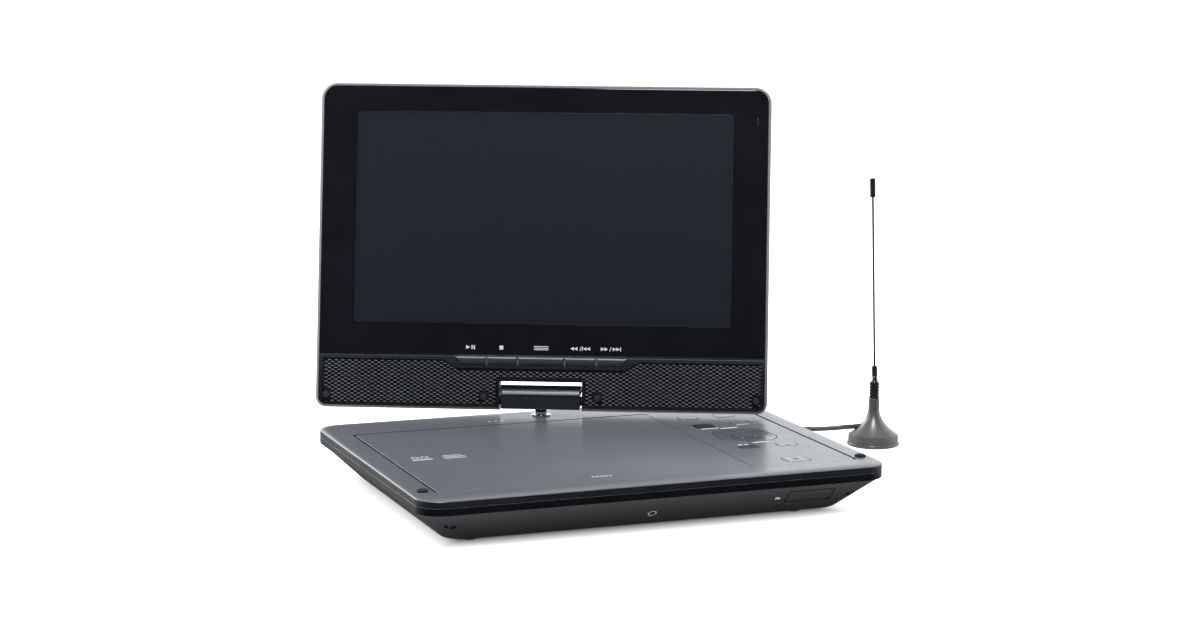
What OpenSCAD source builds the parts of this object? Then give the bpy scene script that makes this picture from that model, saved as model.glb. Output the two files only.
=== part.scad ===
// Portable disc player: a tapered base with a disc bay and control panel,
// a screen on a swivel-and-tilt hinge, and a magnetic whip antenna on a thin lead.
// Frame: origin at the centre of the base's flat underside, +Z up, +Y to the rear.
// The rubber feet reach foot_h below the origin, to the surface that it all stands on.

/* [Base] */
// Width of the base across X
base_w = 239; // [239:0.5:242]
// Depth of the base across Y
base_d = 183; // [183:0.5:185]
// Height of the flat top above the underside
top_z = 24.1; // [24.1:0.1:24.6]
// Height where the dark band starts above the tapered shell
band_z = 16.3; // [16:0.1:16.6]
// Height where the band meets the top shell
rim_z = 22.4; // [22.3:0.1:22.4]
// How far the tapered shell pulls in at the underside
taper = 18; // [17:0.5:18.5]
// Corner radius of the base, seen from above
base_r = 12; // [11:0.5:13]
// Height of the rubber feet
foot_h = 2; // [1.5:0.1:2]

/* [Screen] */
// Width of the screen housing
screen_w = 238.5; // [237:0.5:239]
// Height of the screen housing
screen_h = 172; // [171:0.5:172]
// Thickness of the screen housing
screen_t = 13; // [12.6:0.1:13]
// Width of the visible display
display_w = 198; // [197:0.5:199]
// Height of the visible display
display_h = 111.6; // [110:0.2:112]
// Height of the speaker strip along the bottom
strip_h = 28.5; // [28:0.1:29]

/* [Hinge] */
// Distance from the base centre back to the swivel axis
swivel_y = 76.5; // [76:0.1:76.5]
// Swivel angle of the stored pose, about +Z
swivel_angle = -24.5; // [-24.5:0.5:-23]
// Lean of the stored pose, back past upright
lean_angle = 11.3; // [10.5:0.1:11.5]
// Height of the tilt axis above the base top
tilt_h = 7.8; // [7.8:0.1:8]

/* [Disc bay] */
// Left edge of the disc lid opening
bay_x0 = -107.3; // [-107.5:0.1:-107]
// Right edge of the disc lid opening
bay_x1 = 53.3; // [53:0.1:53.4]
// Front edge of the disc lid opening
bay_y0 = -76.6; // [-76.8:0.1:-76]
// Rear edge of the disc lid opening
bay_y1 = 61.4; // [61:0.1:61.6]

/* [Antenna] */
// Antenna position across X
antenna_x = 189.3; // [188:0.1:191]
// Antenna position across Y
antenna_y = 60.5; // [59:0.1:61.5]
// Height of the antenna tip above the surface
antenna_h = 147.6; // [145:0.1:150]
// Diameter of the antenna lead
cord_d = 2.6; // [2.4:0.1:2.6]

/* [Hidden] */
$fn = 48;

eps = 0.01;
wall = 2;
gap = 0.4;             // seam beside a fixed or moving panel
fit = 0.05;            // radial clearance of a running fit
table_z = -foot_h;

// base levels
plate_z = 22;          // underside of the top plate
band_inset = 1.2;      // the tapered shell starts this far inside the band
crown_inset = 4.5;     // width of the rounded edge of the top shell
taper_run = taper - band_inset;
half_d = base_d / 2;
low_w = base_w - 2 * taper;
low_d = base_d - 2 * taper;
slope_tilt = 90 + atan2(taper_run, band_z);   // turns a panel onto the front taper

// front taper: centres of the card door and receiver window, and the strap eyes, as x and z
card_at = [79.8, 9.9];
window_at = [-1.6, 6.7];
eye_at = [103, 8.5];

// case screws, at plus and minus these
screw_x = 60;
screw_y = 58;

// control panel
panel_x0 = 53.7;
panel_x1 = 107.3;
panel_t = 1;
key_gap = 0.35;
key_lift = 0.1;        // keys stand this far above the panel
key_floor = 19.6;      // lowest point of a key's stem

// disc bay
spindle_x = (bay_x0 + bay_x1) / 2;
spindle_y = -7;
well_r = 63;
well_floor = 15.5;
tray_top = plate_z;
lid_axis = [66, 19.4];     // y and z of the disc lid's hinge
lid_rear_gap = 1.2;
arm_x = [-85, 30];
sled_rest = 26;            // pickup's distance from the spindle, at its inner stop
sled_travel = 24;
rod_r = 1.5;

// right side, rear to front: power socket, volume wheel, two sound sockets, power switch
side_z = 9;
socket_x = 108;            // mouths of the side sockets
socket_in = 103.5;         // their blocks end inside the wall
dc_y = 55;
av_y = [-12, 3];
wheel_at = [104.8, 22];
jack_y = 79.4;             // face of the rear antenna socket

// screen, in its own frame: the tilt axis is the origin, X across, Z up the screen
axis_up = 5.2;             // tilt axis above the bottom edge
face_y = -screen_t / 2;    // front face
back_y = screen_t / 2;
seam_y = face_y + 1.6;     // front parts meet the back cover here
bottom_v = -axis_up;
top_v = screen_h - axis_up;
strip_v = bottom_v + strip_h;
notch_half = 21.8;
notch_v = 9.9;
display_v = 96.2;          // centre of the display
front_inset = 1.3;
key_v0 = 18.5;
key_v1 = 22.8;
key_xs = [-46, -29, -12.4, 12.4, 29, 46];   // edges of the five screen keys
plug_xs = [-113.5, -30, 30, 113.5];         // screw plugs
plug_v = 1.6;
pin_r = 2.45;
block_half = 20.85;

// antenna lead: centre line of the two stretches that aren't coiled, from the antenna
// to the coil and from the coil to the plug, laid on the surface behind the base
coil_c = [62.7, 128];
coil_mid_r = 13;
coil_lift = 0.6;
coil_w = 5 * cord_d;         // five turns side by side
coil_h = 4 * cord_d;         // in four layers
coil_z0 = table_z + coil_lift;
lay_z = table_z + cord_d / 2;
jack_x = 44.5;
jack_z = 8;
plug_end_y = 114;
lead_a = [
    [180.5, 65.8, 7.6], [177.6, 70.6, 6.6], [176.4, 77, 5], [175.6, 84, 3.4], [174.4, 91, 1.8],
    [172.4, 97.5, 0.5], [169.4, 103, -0.4], [164.8, 107.2, lay_z], [158.5, 110, lay_z],
    [151, 112.6, lay_z], [143, 115.6, lay_z], [135, 119, lay_z], [127, 122.8, lay_z],
    [119, 126.7, lay_z], [111, 130.5, lay_z], [103, 134, lay_z], [95, 137.2, lay_z],
    [87, 140.6, lay_z], [79, 143.6, lay_z], [70.8, 145.7, -0.4], [62.7, 146.2, -0.1]
];
lead_b = [
    [44.5, 128, 7.7], [44.5, 124.5, 7.75], [44.5, 121, 7.85], [44.5, 117.5, 7.95],
    [44.5, plug_end_y, jack_z]
];

// ---------- shared shapes ----------

// rectangle with true round corners
module round_rect(w, d, r) {
    square([w - 2 * r, d], center = true);
    square([w, d - 2 * r], center = true);
    for (sx = [-1, 1], sy = [-1, 1])
        translate([sx * (w / 2 - r), sy * (d / 2 - r)]) circle(r);
}

module round_slab(w, d, r, z0, z1) {
    translate([0, 0, z0]) linear_extrude(z1 - z0) round_rect(w, d, r);
}

// the same, between two corners
module round_slab_at(x0, x1, y0, y1, r, z0, z1) {
    translate([(x0 + x1) / 2, (y0 + y1) / 2, 0]) round_slab(x1 - x0, y1 - y0, r, z0, z1);
}

module box(x0, x1, y0, y1, z0, z1) {
    translate([x0, y0, z0]) cube([x1 - x0, y1 - y0, z1 - z0]);
}

module rod_x(r, x0, x1, y, z) {
    translate([x0, y, z]) rotate([0, 90, 0]) cylinder(r = r, h = x1 - x0);
}

module rod_y(r, y0, y1, x, z) {
    translate([x, y0, z]) rotate([-90, 0, 0]) cylinder(r = r, h = y1 - y0);
}

// half width and half depth of the tapered shell at height z
function taper_half(half, z) = half - band_inset - taper_run * (1 - z / band_z);

// puts children on the front taper: X across, Y up the slope, Z outwards
module on_front(x, z) {
    translate([x, -taper_half(half_d, z), z]) rotate([slope_tilt, 0, 0]) children();
}

// puts children, drawn about the tilt axis, where the screen stands at rest
module on_swivel() {
    translate([0, swivel_y, top_z + tilt_h]) rotate([0, 0, swivel_angle]) children();
}

module on_screen() {
    on_swivel() rotate([-lean_angle, 0, 0]) children();
}

// outline of the screen housing, pulled in by inset: 8.5 mm corners above, 5.5 mm below
module screen_outline(inset) {
    w = screen_w / 2 - inset;
    v0 = bottom_v + inset;
    v1 = top_v - inset;
    rt = 8.5 - inset;
    rb = 5.5 - inset;
    translate([-w, v0 + rb]) square([2 * w, v1 - v0 - rt - rb]);
    translate([-w + rb, v0]) square([2 * (w - rb), rb + eps]);
    translate([-w + rt, v1 - rt - eps]) square([2 * (w - rt), rt + eps]);
    for (s = [-1, 1]) {
        translate([s * (w - rt), v1 - rt]) circle(rt);
        translate([s * (w - rb), v0 + rb]) circle(rb);
    }
}

// screen outline as a slab between two depths
module screen_slab(inset, y0, y1) {
    translate([0, y1, 0]) rotate([90, 0, 0]) linear_extrude(y1 - y0) screen_outline(inset);
}

module screen_box(x0, x1, v0, v1, y0, y1) {
    box(x0, x1, y0, y1, v0, v1);
}

module notch_cut(grow) {
    screen_box(-notch_half - grow, notch_half + grow, bottom_v - 1, notch_v + grow, -20, 20);
}

// tube of n sides through a list of points
function unit(v) = v / norm(v);
function heading(p, i) =
    unit(p[min(i + 1, len(p) - 1)] - p[max(i - 1, 0)]);
function ring(p, i, r, n) =
    let (t = heading(p, i), side = unit(cross(t, [0, 0, 1])), up = cross(side, t))
    [for (k = [0:n - 1]) p[i] + r * (cos(360 * k / n) * side + sin(360 * k / n) * up)];

module tube(p, r, n = 8) {
    rings = len(p);
    verts = [for (i = [0:rings - 1]) each ring(p, i, r, n)];
    sides = [
        for (i = [0:rings - 2], k = [0:n - 1])
            let (a = i * n + k, b = i * n + (k + 1) % n) [a, b, b + n, a + n]
    ];
    ends = [[for (k = [n - 1:-1:0]) k], [for (k = [0:n - 1]) (rings - 1) * n + k]];
    polyhedron(verts, concat(sides, ends), convexity = 6);
}

// ---------- base ----------

// centre x, centre y, width, depth and corner radius of each key on the panel
source_at = [70, 43, 11, 8.5, 2.5];
setup_at = [91, 43, 11, 8.5, 2.5];
display_at = [70, 21.4, 11, 11, 2.5];
subtitle_at = [91, 21.6, 10.4, 10.4, 2.5];
pad_at = [80.5, -5.5, 30, 34, 12];
enter_at = [80.5, -5.5, 13, 13, 5];
return_at = [70.5, -32.2, 11, 8, 2.5];
title_at = [91.3, -33, 11, 8, 2.5];
mode_at = [80.5, -66, 13, 12, 3];
panel_keys = [source_at, setup_at, display_at, subtitle_at, pad_at, return_at, title_at, mode_at];

module key_shape(k, grow, z0, z1) {
    translate([k[0], k[1], 0]) round_slab(k[2] + 2 * grow, k[3] + 2 * grow, k[4] + grow, z0, z1);
}

module panel_key(k) {
    key_shape(k, -key_gap, plate_z + 0.2, top_z + key_lift);
    translate([k[0], k[1], key_floor]) cylinder(r = 2, h = plate_z + 0.2 - key_floor);
}

module top_shell() {
    color("slategray") difference() {
        union() {
            hull() {
                round_slab(base_w, base_d, base_r, rim_z, rim_z + 0.3, $fn = 32);
                round_slab(base_w - 1.4, base_d - 1.4, base_r - 0.7, rim_z + 0.9, rim_z + 1, $fn = 32);
                round_slab(base_w - 2 * crown_inset, base_d - 2 * crown_inset,
                    base_r - crown_inset, top_z - 0.1, top_z, $fn = 32);
            }
            round_slab(base_w - 6, base_d - 6, base_r - 3, plate_z, rim_z + eps);
        }
        round_slab_at(bay_x0, bay_x1, bay_y0, bay_y1, 2.5, plate_z - 1, top_z + 1);
        round_slab_at(panel_x0 - 0.1, panel_x1 + 0.1, bay_y0 - 0.1, bay_y1 + 0.1, 2.6,
            top_z - panel_t, top_z + 1);
        for (k = panel_keys) key_shape(k, 0.3, plate_z - 1, top_z);
        translate([0, swivel_y, 0]) cylinder(r = 3 + fit, h = 40);
        for (i = [0:2]) translate([-31.5 + 3.6 * i, 69.6, 0]) cylinder(r = 0.85, h = 40);
    }
}

module trim_band() {
    color("black") difference() {
        round_slab(base_w, base_d, base_r, band_z, rim_z);
        round_slab(base_w - 5, base_d - 5, base_r - 2.5, band_z - 1, rim_z + 1);
    }
}

module taper_body(shrink, z0) {
    hull() {
        round_slab(base_w - 2 * band_inset - shrink, base_d - 2 * band_inset - shrink,
            base_r - 1 - shrink / 4, band_z - 0.1, band_z, $fn = 32);
        round_slab(low_w - shrink, low_d - shrink, base_r - 2 - shrink / 4, z0, z0 + 0.1, $fn = 32);
    }
}

module strap_eye(side) {
    on_front(side * eye_at[0], eye_at[1]) difference() {
        box(-3.6, 3.6, -2, 2, -3.2, 1);
        rod_y(0.8, -3, 3, 0, -1.5);
    }
}

module bottom_shell() {
    // post for the volume wheel
    color("dimgray") translate([wheel_at[0], wheel_at[1], 4.7]) cylinder(r = 1.45, h = 6.7);
    color("dimgray") difference() {
        union() {
            difference() {
                taper_body(0, 0);
                taper_body(2 * wall, wall);
            }
            for (x = [-screw_x, screw_x], y = [-screw_y, screw_y]) translate([x, y, 1]) cylinder(r = 4, h = 9);
        }
        for (x = [-screw_x, screw_x], y = [-screw_y, screw_y]) translate([x, y, -1]) {
            cylinder(r = 1.35, h = 14);
            cylinder(r = 2.9, h = 3);
        }
        // side openings: direct current, two sound sockets, wheel and switch
        for (y = [dc_y, av_y[0], av_y[1]]) rod_x(3.5, 100, 125, y, side_z);
        box(102, 120, 14.4, 29.6, 7.2, 10.8);
        box(102, 120, -42, -30, 7, 11);
        // rear antenna socket
        rod_y(5, 66, 100, jack_x, jack_z);
        // card slot behind its door, and the receiver window
        on_front(card_at[0], card_at[1]) box(-11.6, 11.6, -3.4, 3.4, -6, 1);
        on_front(window_at[0], window_at[1]) translate([0, 0, -6]) cylinder(r = 1.8, h = 8);
        on_front(card_at[0], card_at[1]) box(-12.4, 12.4, -5, 5, -1.3, 1);
        for (s = [-1, 1]) strap_eye(s);
        // cooling slots in the underside
        for (i = [-3:3]) box(-30 + 9 * i, -26 + 9 * i, 30, 46, -1, 4);
    }
}

module rubber_feet() {
    color("black") for (x = [-88, 80], y = [-64, 64]) translate([x, y, table_z]) {
        cylinder(r1 = 3.6, r2 = 4.4, h = 0.7);
        translate([0, 0, 0.7]) cylinder(r = 4.4, h = foot_h - 0.7);
    }
}

module screen_rests() {
    color("black") for (x = [-113, 113]) translate([x, -71.5, top_z]) {
        cylinder(r = 2.7, h = 0.7);
        translate([0, 0, 0.7]) cylinder(r1 = 2.7, r2 = 2, h = 0.5);
    }
}

module control_panel() {
    color("silver") difference() {
        round_slab_at(panel_x0, panel_x1, bay_y0, bay_y1, 2.5, top_z - panel_t, top_z);
        for (k = panel_keys) key_shape(k, 0, plate_z, top_z + 1);
    }
}

module disc_tray() {
    color("gray") difference() {
        union() {
            round_slab_at(bay_x0 - 2, bay_x1 + 2, bay_y0 - 2, lid_axis[0] - 2.4, 3, 20.4, tray_top);
            translate([spindle_x, spindle_y, well_floor - 1.5])
                cylinder(r = well_r + 1.5, h = 20.4 - well_floor + 1.5 + eps);
            // ears for the lid hinge pins and the pickup rods
            for (x = arm_x, s = [-1, 1])
                box(x + s * 7 - 1, x + s * 7 + 1, 55, lid_axis[0] + 2.2, 16.6, 21.6);
            for (x = [-13, 38], s = [-1, 1])
                translate([spindle_x + sled_rest + x - 1, spindle_y, 0])
                    box(-1, 1, s * 17 - 3, s * 17 + 3, 7.4, well_floor - 1);
        }
        translate([spindle_x, spindle_y, well_floor]) cylinder(r = well_r, h = 20);
        translate([spindle_x, spindle_y, 0]) cylinder(r = 7, h = 20);
        // slot for the pickup's lens block
        translate([spindle_x + sled_rest - 8.4, spindle_y - 9.5, 12])
            cube([sled_travel + 16.8, 19, 8]);
        for (s = [-1, 1])
            rod_x(rod_r, spindle_x + 5, spindle_x + 80, spindle_y + 17 * s, 10.4);
        for (x = arm_x) {
            box(x - 5.4, x + 5.4, 46, 80, 12, 30);
            rod_x(rod_r, x - 9, x + 9, lid_axis[0], lid_axis[1]);
        }
    }
    color("gray") for (x = arm_x) rod_x(rod_r, x - 8, x + 8, lid_axis[0], lid_axis[1]);
}

module spindle_motor() {
    color("lightgray") translate([spindle_x, spindle_y, wall]) difference() {
        union() {
            cylinder(r = 12, h = 9);
            cylinder(r = 4.5, h = 11);
        }
        translate([0, 0, 3]) cylinder(r = 1.5 + fit, h = 20);
    }
}

module spindle_hub() {
    color("dimgray") translate([spindle_x, spindle_y, 0]) {
        translate([0, 0, 5.6]) cylinder(r = 1.5, h = 10.6);
        translate([0, 0, 16.2]) cylinder(r = 13.5, h = 1.4);
        translate([0, 0, 17.6]) cylinder(r = 7.4, h = 1.6);
        translate([0, 0, 19.2]) cylinder(r1 = 7.4, r2 = 5.4, h = 1.4);
    }
}

module pickup_sled() {
    color("black") translate([spindle_x + sled_rest, spindle_y, 0]) difference() {
        union() {
            box(-8, 8, -19.6, 19.6, 7.6, 13.2);
            box(-7.6, 7.6, -8.6, 8.6, 13.2, 15);
            translate([0, 0, 15]) cylinder(r = 3.2, h = 0.6);
        }
        for (s = [-1, 1]) rod_x(rod_r + fit, -10, 10, 17 * s, 10.4);
    }
}

module guide_rods() {
    color("silver") for (s = [-1, 1])
        rod_x(rod_r, spindle_x + sled_rest - 15, spindle_x + sled_rest + 38, spindle_y + 17 * s, 10.4);
}

module main_board() {
    color("darkgreen") difference() {
        union() {
            box(46, 92, -62, 52, 7, 8.6);
            for (x = [52, 86], y = [-50, 46]) translate([x, y, wall]) cylinder(r = 2.5, h = 5 + eps);
            for (p = [[58, -30], [80, 10], [70, 36]])
                box(p[0] - 7, p[0] + 7, p[1] - 7, p[1] + 7, 8.6, 10.4);
        }
        for (x = [-screw_x, screw_x], y = [-screw_y, screw_y]) translate([x, y, 0]) cylinder(r = 4.6, h = 20);
    }
}

module battery_pack() {
    color("navy") round_slab_at(-97, -47, -50, 44, 2, wall, wall + 10.5);
}

module ir_window() {
    color("black") on_front(window_at[0], window_at[1]) {
        translate([0, 0, -3]) cylinder(r = 1.7, h = 3);
        translate([0, 0, 0]) cylinder(r1 = 1.7, r2 = 1.2, h = 0.35);
    }
}

module status_lamps() {
    color("white") for (i = [0:2])
        translate([-31.5 + 3.6 * i, 69.6, plate_z]) cylinder(r = 0.8, h = top_z - plate_z);
}

module case_screws() {
    color("silver") for (x = [-screw_x, screw_x], y = [-screw_y, screw_y]) translate([x, y, 0.5]) {
        difference() {
            cylinder(r = 2.5, h = 1.5);
            translate([-1.8, -0.3, -1]) cube([3.6, 0.6, 1.6]);
            translate([-0.3, -1.8, -1]) cube([0.6, 3.6, 1.6]);
        }
        translate([0, 0, 1.5]) cylinder(r = 1.3, h = 7);
    }
}

// socket in the right side: a block with a round neck, bored from its mouth
module side_socket(r, depth, y) {
    difference() {
        union() {
            box(socket_x - depth - 2, socket_in, y - 4.4, y + 4.4, side_z - 3.4, side_z + 3.4);
            rod_x(3.2, socket_in - eps, socket_x, y, side_z);
        }
        rod_x(r, socket_x - depth, socket_x + 1, y, side_z);
    }
}

module dc_jack() {
    color("black") {
        side_socket(2.75, 9, dc_y);
        rod_x(0.8, socket_x - 9 - eps, socket_x - 1.2, dc_y, side_z);
    }
}

module av_jacks() {
    color("black") for (y = av_y) side_socket(1.8, 12, y);
}

module antenna_jack() {
    color("black") difference() {
        union() {
            box(jack_x - 4.6, jack_x + 4.6, 62, 72.5, 4, 12);
            rod_y(4.4, 72.5 - eps, jack_y, jack_x, jack_z);
        }
        rod_y(2, 64, 90, jack_x, jack_z);
    }
}

// ---------- disc lid ----------

module disc_lid() {
    color("slategray") round_slab_at(bay_x0 + gap, bay_x1 - gap, bay_y0 + gap,
        bay_y1 - lid_rear_gap, 2.2, top_z - 1.6, top_z);
}

module lid_arms() {
    color("gray") for (x = arm_x) difference() {
        union() {
            box(x - 4.6, x + 4.6, 48, 57, 18.4, top_z - 1.6);
            box(x - 4.6, x + 4.6, 48, lid_axis[0], 17.2, 20.8);
            rod_x(2.2, x - 4.6, x + 4.6, lid_axis[0], lid_axis[1]);
        }
        rod_x(rod_r + fit, x - 6, x + 6, lid_axis[0], lid_axis[1]);
    }
}

// ---------- keys on the base ----------

module source_key() { color("silver") panel_key(source_at); }
module setup_key() { color("silver") panel_key(setup_at); }
module display_key() { color("dimgray") panel_key(display_at); }
module subtitle_key() { color("silver") panel_key(subtitle_at); }
module return_key() { color("dimgray") panel_key(return_at); }
module title_key() { color("silver") panel_key(title_at); }
module mode_key() { color("silver") panel_key(mode_at); }

module direction_pad() {
    color("gray") difference() {
        union() {
            key_shape(pad_at, -key_gap, plate_z + 0.2, top_z + key_lift);
            for (s = [-1, 1]) translate([pad_at[0] + 10 * s, pad_at[1], key_floor])
                cylinder(r = 2, h = plate_z + 0.2 - key_floor);
        }
        key_shape(enter_at, 0, plate_z - 1, top_z + 2);
    }
}

module enter_key() {
    color("silver") {
        key_shape(enter_at, -key_gap, plate_z + 0.2, top_z + key_lift + 0.1);
        translate([enter_at[0], enter_at[1], key_floor]) cylinder(r = 2, h = plate_z + 0.2 - key_floor);
    }
}

module power_switch() {
    color("black") {
        box(102.6, 109.4, -38.6, -33.4, 7.4, 10.6);
        box(109.4, 112.8, -37.6, -34.4, 7.8, 10.2);
    }
}

module volume_wheel() {
    color("black") translate([wheel_at[0], wheel_at[1], 7.6]) difference() {
        cylinder(r = 7, h = 2.8);
        translate([0, 0, -1]) cylinder(r = 1.45 + fit, h = 6);
    }
}

module card_door() {
    // a flap with a round lower edge, which it turns about
    edge_r = 0.55;
    color("dimgray") on_front(card_at[0], card_at[1]) {
        box(-12, 12, -4.6 + edge_r, 4.6, -2 * edge_r, 0);
        rod_x(edge_r, -12, 12, -4.6 + edge_r, -edge_r);
        box(-3, 3, 3.2, 4.2, 0, 0.3);
    }
}

// ---------- swivel and tilt hinge ----------

module swivel_washer() {
    color("silver") translate([0, swivel_y, top_z]) difference() {
        cylinder(r = 5.4, h = 0.7);
        translate([0, 0, -1]) cylinder(r = 3 + fit, h = 3);
    }
}

module swivel_shaft() {
    color("silver") translate([0, swivel_y, 0]) {
        translate([0, 0, 16]) cylinder(r = 3, h = top_z + 1 - 16);
        translate([0, 0, 16]) cylinder(r = 7, h = 2);
        translate([0, 0, top_z + 1]) cylinder(r = 3.3, h = 1.4);
    }
}

module hinge_block() {
    // a bar with a round top about the tilt axis, on a short tapered neck
    block_top = 8;
    block_low = -3.7;
    block_y = 6;
    top_r = 5;
    color("#1f232d") on_swivel() {
        difference() {
            union() {
                box(-block_half, block_half, -block_y, block_y, block_low, block_top - top_r);
                box(-block_half, block_half, -block_y + top_r, block_y - top_r, 0, block_top);
                for (s = [-1, 1])
                    rod_x(top_r, -block_half, block_half, s * (block_y - top_r), block_top - top_r);
            }
            rod_x(pin_r, -block_half - 1, -block_half + 9, 0, 0);
            rod_x(pin_r, block_half - 9, block_half + 1, 0, 0);
        }
        translate([0, 0, 2.4 - tilt_h]) cylinder(r1 = 3, r2 = 4.2, h = block_low - 2.4 + tilt_h + eps);
    }
}

module hinge_pins() {
    color("silver") on_swivel() {
        rod_x(pin_r, block_half - 9, 31, 0, 0);
        rod_x(pin_r, -31, -block_half + 9, 0, 0);
    }
}

// ---------- screen ----------

module back_solid() {
    screen_slab(0, seam_y, 3.8);
    hull() {
        screen_slab(0, 3.7, 3.8, $fn = 32);
        screen_slab(0.9, 5.4, 5.5, $fn = 32);
        screen_slab(3, back_y - 0.1, back_y, $fn = 32);
    }
}

module screen_back() {
    color("gray") on_screen() difference() {
        back_solid();
        difference() {
            screen_slab(1.6, seam_y - 1, back_y - wall);
            notch_cut(1.4);
            for (s = [-1, 1])
                screen_box(s * 27.5 - 4.5, s * 27.5 + 4.5, bottom_v, 5, -3.3, back_y);
        }
        notch_cut(0);
        for (s = [-1, 1]) {
            rod_x(pin_r + fit, s > 0 ? 20 : -32, s > 0 ? 32 : -20, 0, 0);
            // vent slots beside the hinge
            for (i = [0:5]) screen_box(s * (55 + 6 * i) - 1, s * (55 + 6 * i) + 1, 12, 34, 3, 10);
        }
    }
}

module screen_frame() {
    color("#15161b") on_screen() difference() {
        screen_slab(front_inset, face_y, seam_y);
        screen_box(-200, 200, -20, strip_v, -20, 20);
        screen_box(-display_w / 2, display_w / 2, display_v - display_h / 2,
            display_v + display_h / 2, -20, 20);
    }
}

module display_panel() {
    color("#22262e") on_screen() {
        screen_box(-display_w / 2, display_w / 2, display_v - display_h / 2,
            display_v + display_h / 2, face_y + 0.4, seam_y);
        screen_box(-display_w / 2 - 4, display_w / 2 + 4, display_v - display_h / 2 - 4,
            display_v + display_h / 2 + 4, seam_y, seam_y + 4);
    }
}

module speaker_grille() {
    color("#1b1e26") on_screen() difference() {
        screen_slab(front_inset, face_y, seam_y);
        screen_box(-200, 200, strip_v, 200, -20, 20);
        screen_box(key_xs[0] - 0.3, key_xs[5] + 0.3, key_v0 - 0.3, 40, -20, 20);
        notch_cut(0);
        for (x = plug_xs) rod_y(2, -20, 20, x, plug_v);
    }
}

module speakers() {
    color("dimgray") on_screen() for (s = [-1, 1])
        translate([s * 78, 0, 9]) rotate([-90, 0, 0]) round_slab(38, 17, 8, seam_y, 2);
}

module screw_plugs() {
    color("black") on_screen()
        for (x = plug_xs) rod_y(1.85, face_y + 0.15, seam_y, x, plug_v);
}

// screen key i lies between two neighbouring edges of key_xs
module screen_key(i) {
    color("#1b1e26") on_screen() {
        screen_box(key_xs[i] + 0.25, key_xs[i + 1] - 0.25, key_v0, key_v1 - 0.1,
            face_y, seam_y + 0.4);
        screen_box((key_xs[i] + key_xs[i + 1]) / 2 - 1.5, (key_xs[i] + key_xs[i + 1]) / 2 + 1.5,
            key_v0 + 0.6, key_v1 - 0.8, seam_y + 0.4, seam_y + 2);
    }
}

module play_key() { screen_key(0); }
module stop_key() { screen_key(1); }
module menu_key() { screen_key(2); }
module previous_key() { screen_key(3); }
module next_key() { screen_key(4); }

// ---------- antenna ----------

module on_antenna() {
    translate([antenna_x, antenna_y, table_z]) children();
}

bell_low = 6.2;
bell_high = 21;
bell_steps = 8;
collar_z = 26;
cone_z = 34.9;
whip_z = 38.1;
ferrule_top = 44;
tip_z = antenna_h - 10.3;
whip_lean = -2.2;         // the rod leans a little towards the base

// radius of the bell between its shoulder and its neck, t from 0 to 1
function bell_r(t) = 3.1 + 9.6 * pow(1 - t, 2.2);

module antenna_foot() {
    color("black") on_antenna() {
        cylinder(r1 = 13.9, r2 = 14.4, h = 0.6);
        translate([0, 0, 0.6]) cylinder(r = 14.4, h = 1.4);
    }
}

module antenna_bell() {
    flare = [for (i = [0:bell_steps]) let (t = i / bell_steps)
        [bell_r(t), bell_low + t * (bell_high - bell_low)]];
    color("dimgray") on_antenna() rotate_extrude($fn = 64)
        polygon(concat([[0, 2], [13.8, 2], [13.5, 5.2]], flare, [[3.1, collar_z], [0, collar_z]]));
}

module antenna_collar() {
    ribs = 5;
    pitch = (cone_z - collar_z) / ribs;
    color("black") on_antenna() rotate_extrude() polygon(concat(
        [[0, collar_z]],
        [for (i = [0:ribs - 1]) each [
            [2.4, collar_z + i * pitch], [2.75, collar_z + (i + 0.25) * pitch],
            [2.75, collar_z + (i + 0.75) * pitch]]],
        [[2.4, cone_z], [0, cone_z]]));
}

module antenna_cone() {
    color("silver") on_antenna() {
        translate([0, 0, cone_z]) cylinder(r = 2.4, h = 0.8);
        translate([0, 0, cone_z + 0.8]) cylinder(r1 = 2.4, r2 = 1.6, h = whip_z - cone_z - 0.8);
    }
}

module on_whip() {
    on_antenna() translate([0, 0, whip_z]) rotate([0, whip_lean, 0]) children();
}

module antenna_whip() {
    color("#202022") on_whip() {
        cylinder(r = 1.5, h = ferrule_top - whip_z);
        cylinder(r = 0.55, h = tip_z - whip_z);
    }
}

module antenna_tip() {
    color("black") on_whip() translate([0, 0, tip_z - whip_z]) {
        cylinder(r = 1.5, h = 9.8);
        translate([0, 0, 9.8]) cylinder(r1 = 1.5, r2 = 1.1, h = 0.5);
    }
}

// tapered strain relief where the lead leaves the bell
module cord_outlet() {
    start = [antenna_x - 5, antenna_y + 2.6, 9.2];
    run = lead_a[0] - start;
    color("black") translate(start)
        rotate([0, 90 - asin(run[2] / norm(run)), atan2(run[1], run[0])])
            cylinder(r1 = 2.6, r2 = 1.6, h = norm(run));
}

module antenna_cord() {
    color("#303032") {
        tube(lead_a, cord_d / 2);
        tube(lead_b, cord_d / 2);
    }
}

module cord_coil() {
    color("#303032") translate([coil_c[0], coil_c[1], coil_z0]) rotate_extrude($fn = 64)
        translate([coil_mid_r - coil_w / 2, 0]) square([coil_w, coil_h]);
}

module coil_tie() {
    band = 0.5;
    slack = 0.1;
    color("black") translate([coil_c[0], coil_c[1], coil_z0]) rotate([0, 0, -40])
        translate([coil_mid_r, 0, coil_h / 2]) difference() {
            cube([coil_w + 2 * band + 2 * slack, 4, coil_h + 2 * band + 2 * slack], center = true);
            cube([coil_w + 2 * slack, 6, coil_h + 2 * slack], center = true);
        }
}

module antenna_plug() {
    color("black") {
        translate([jack_x, plug_end_y, jack_z]) rotate([90, 0, 0]) cylinder(r1 = 1.7, r2 = 2.8, h = 12);
        rod_y(4, 84, 102 + eps, jack_x, jack_z);
        rod_y(4.4, jack_y, 84 + eps, jack_x, jack_z);
        rod_y(1.9, 68, jack_y + eps, jack_x, jack_z);
    }
}

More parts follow.
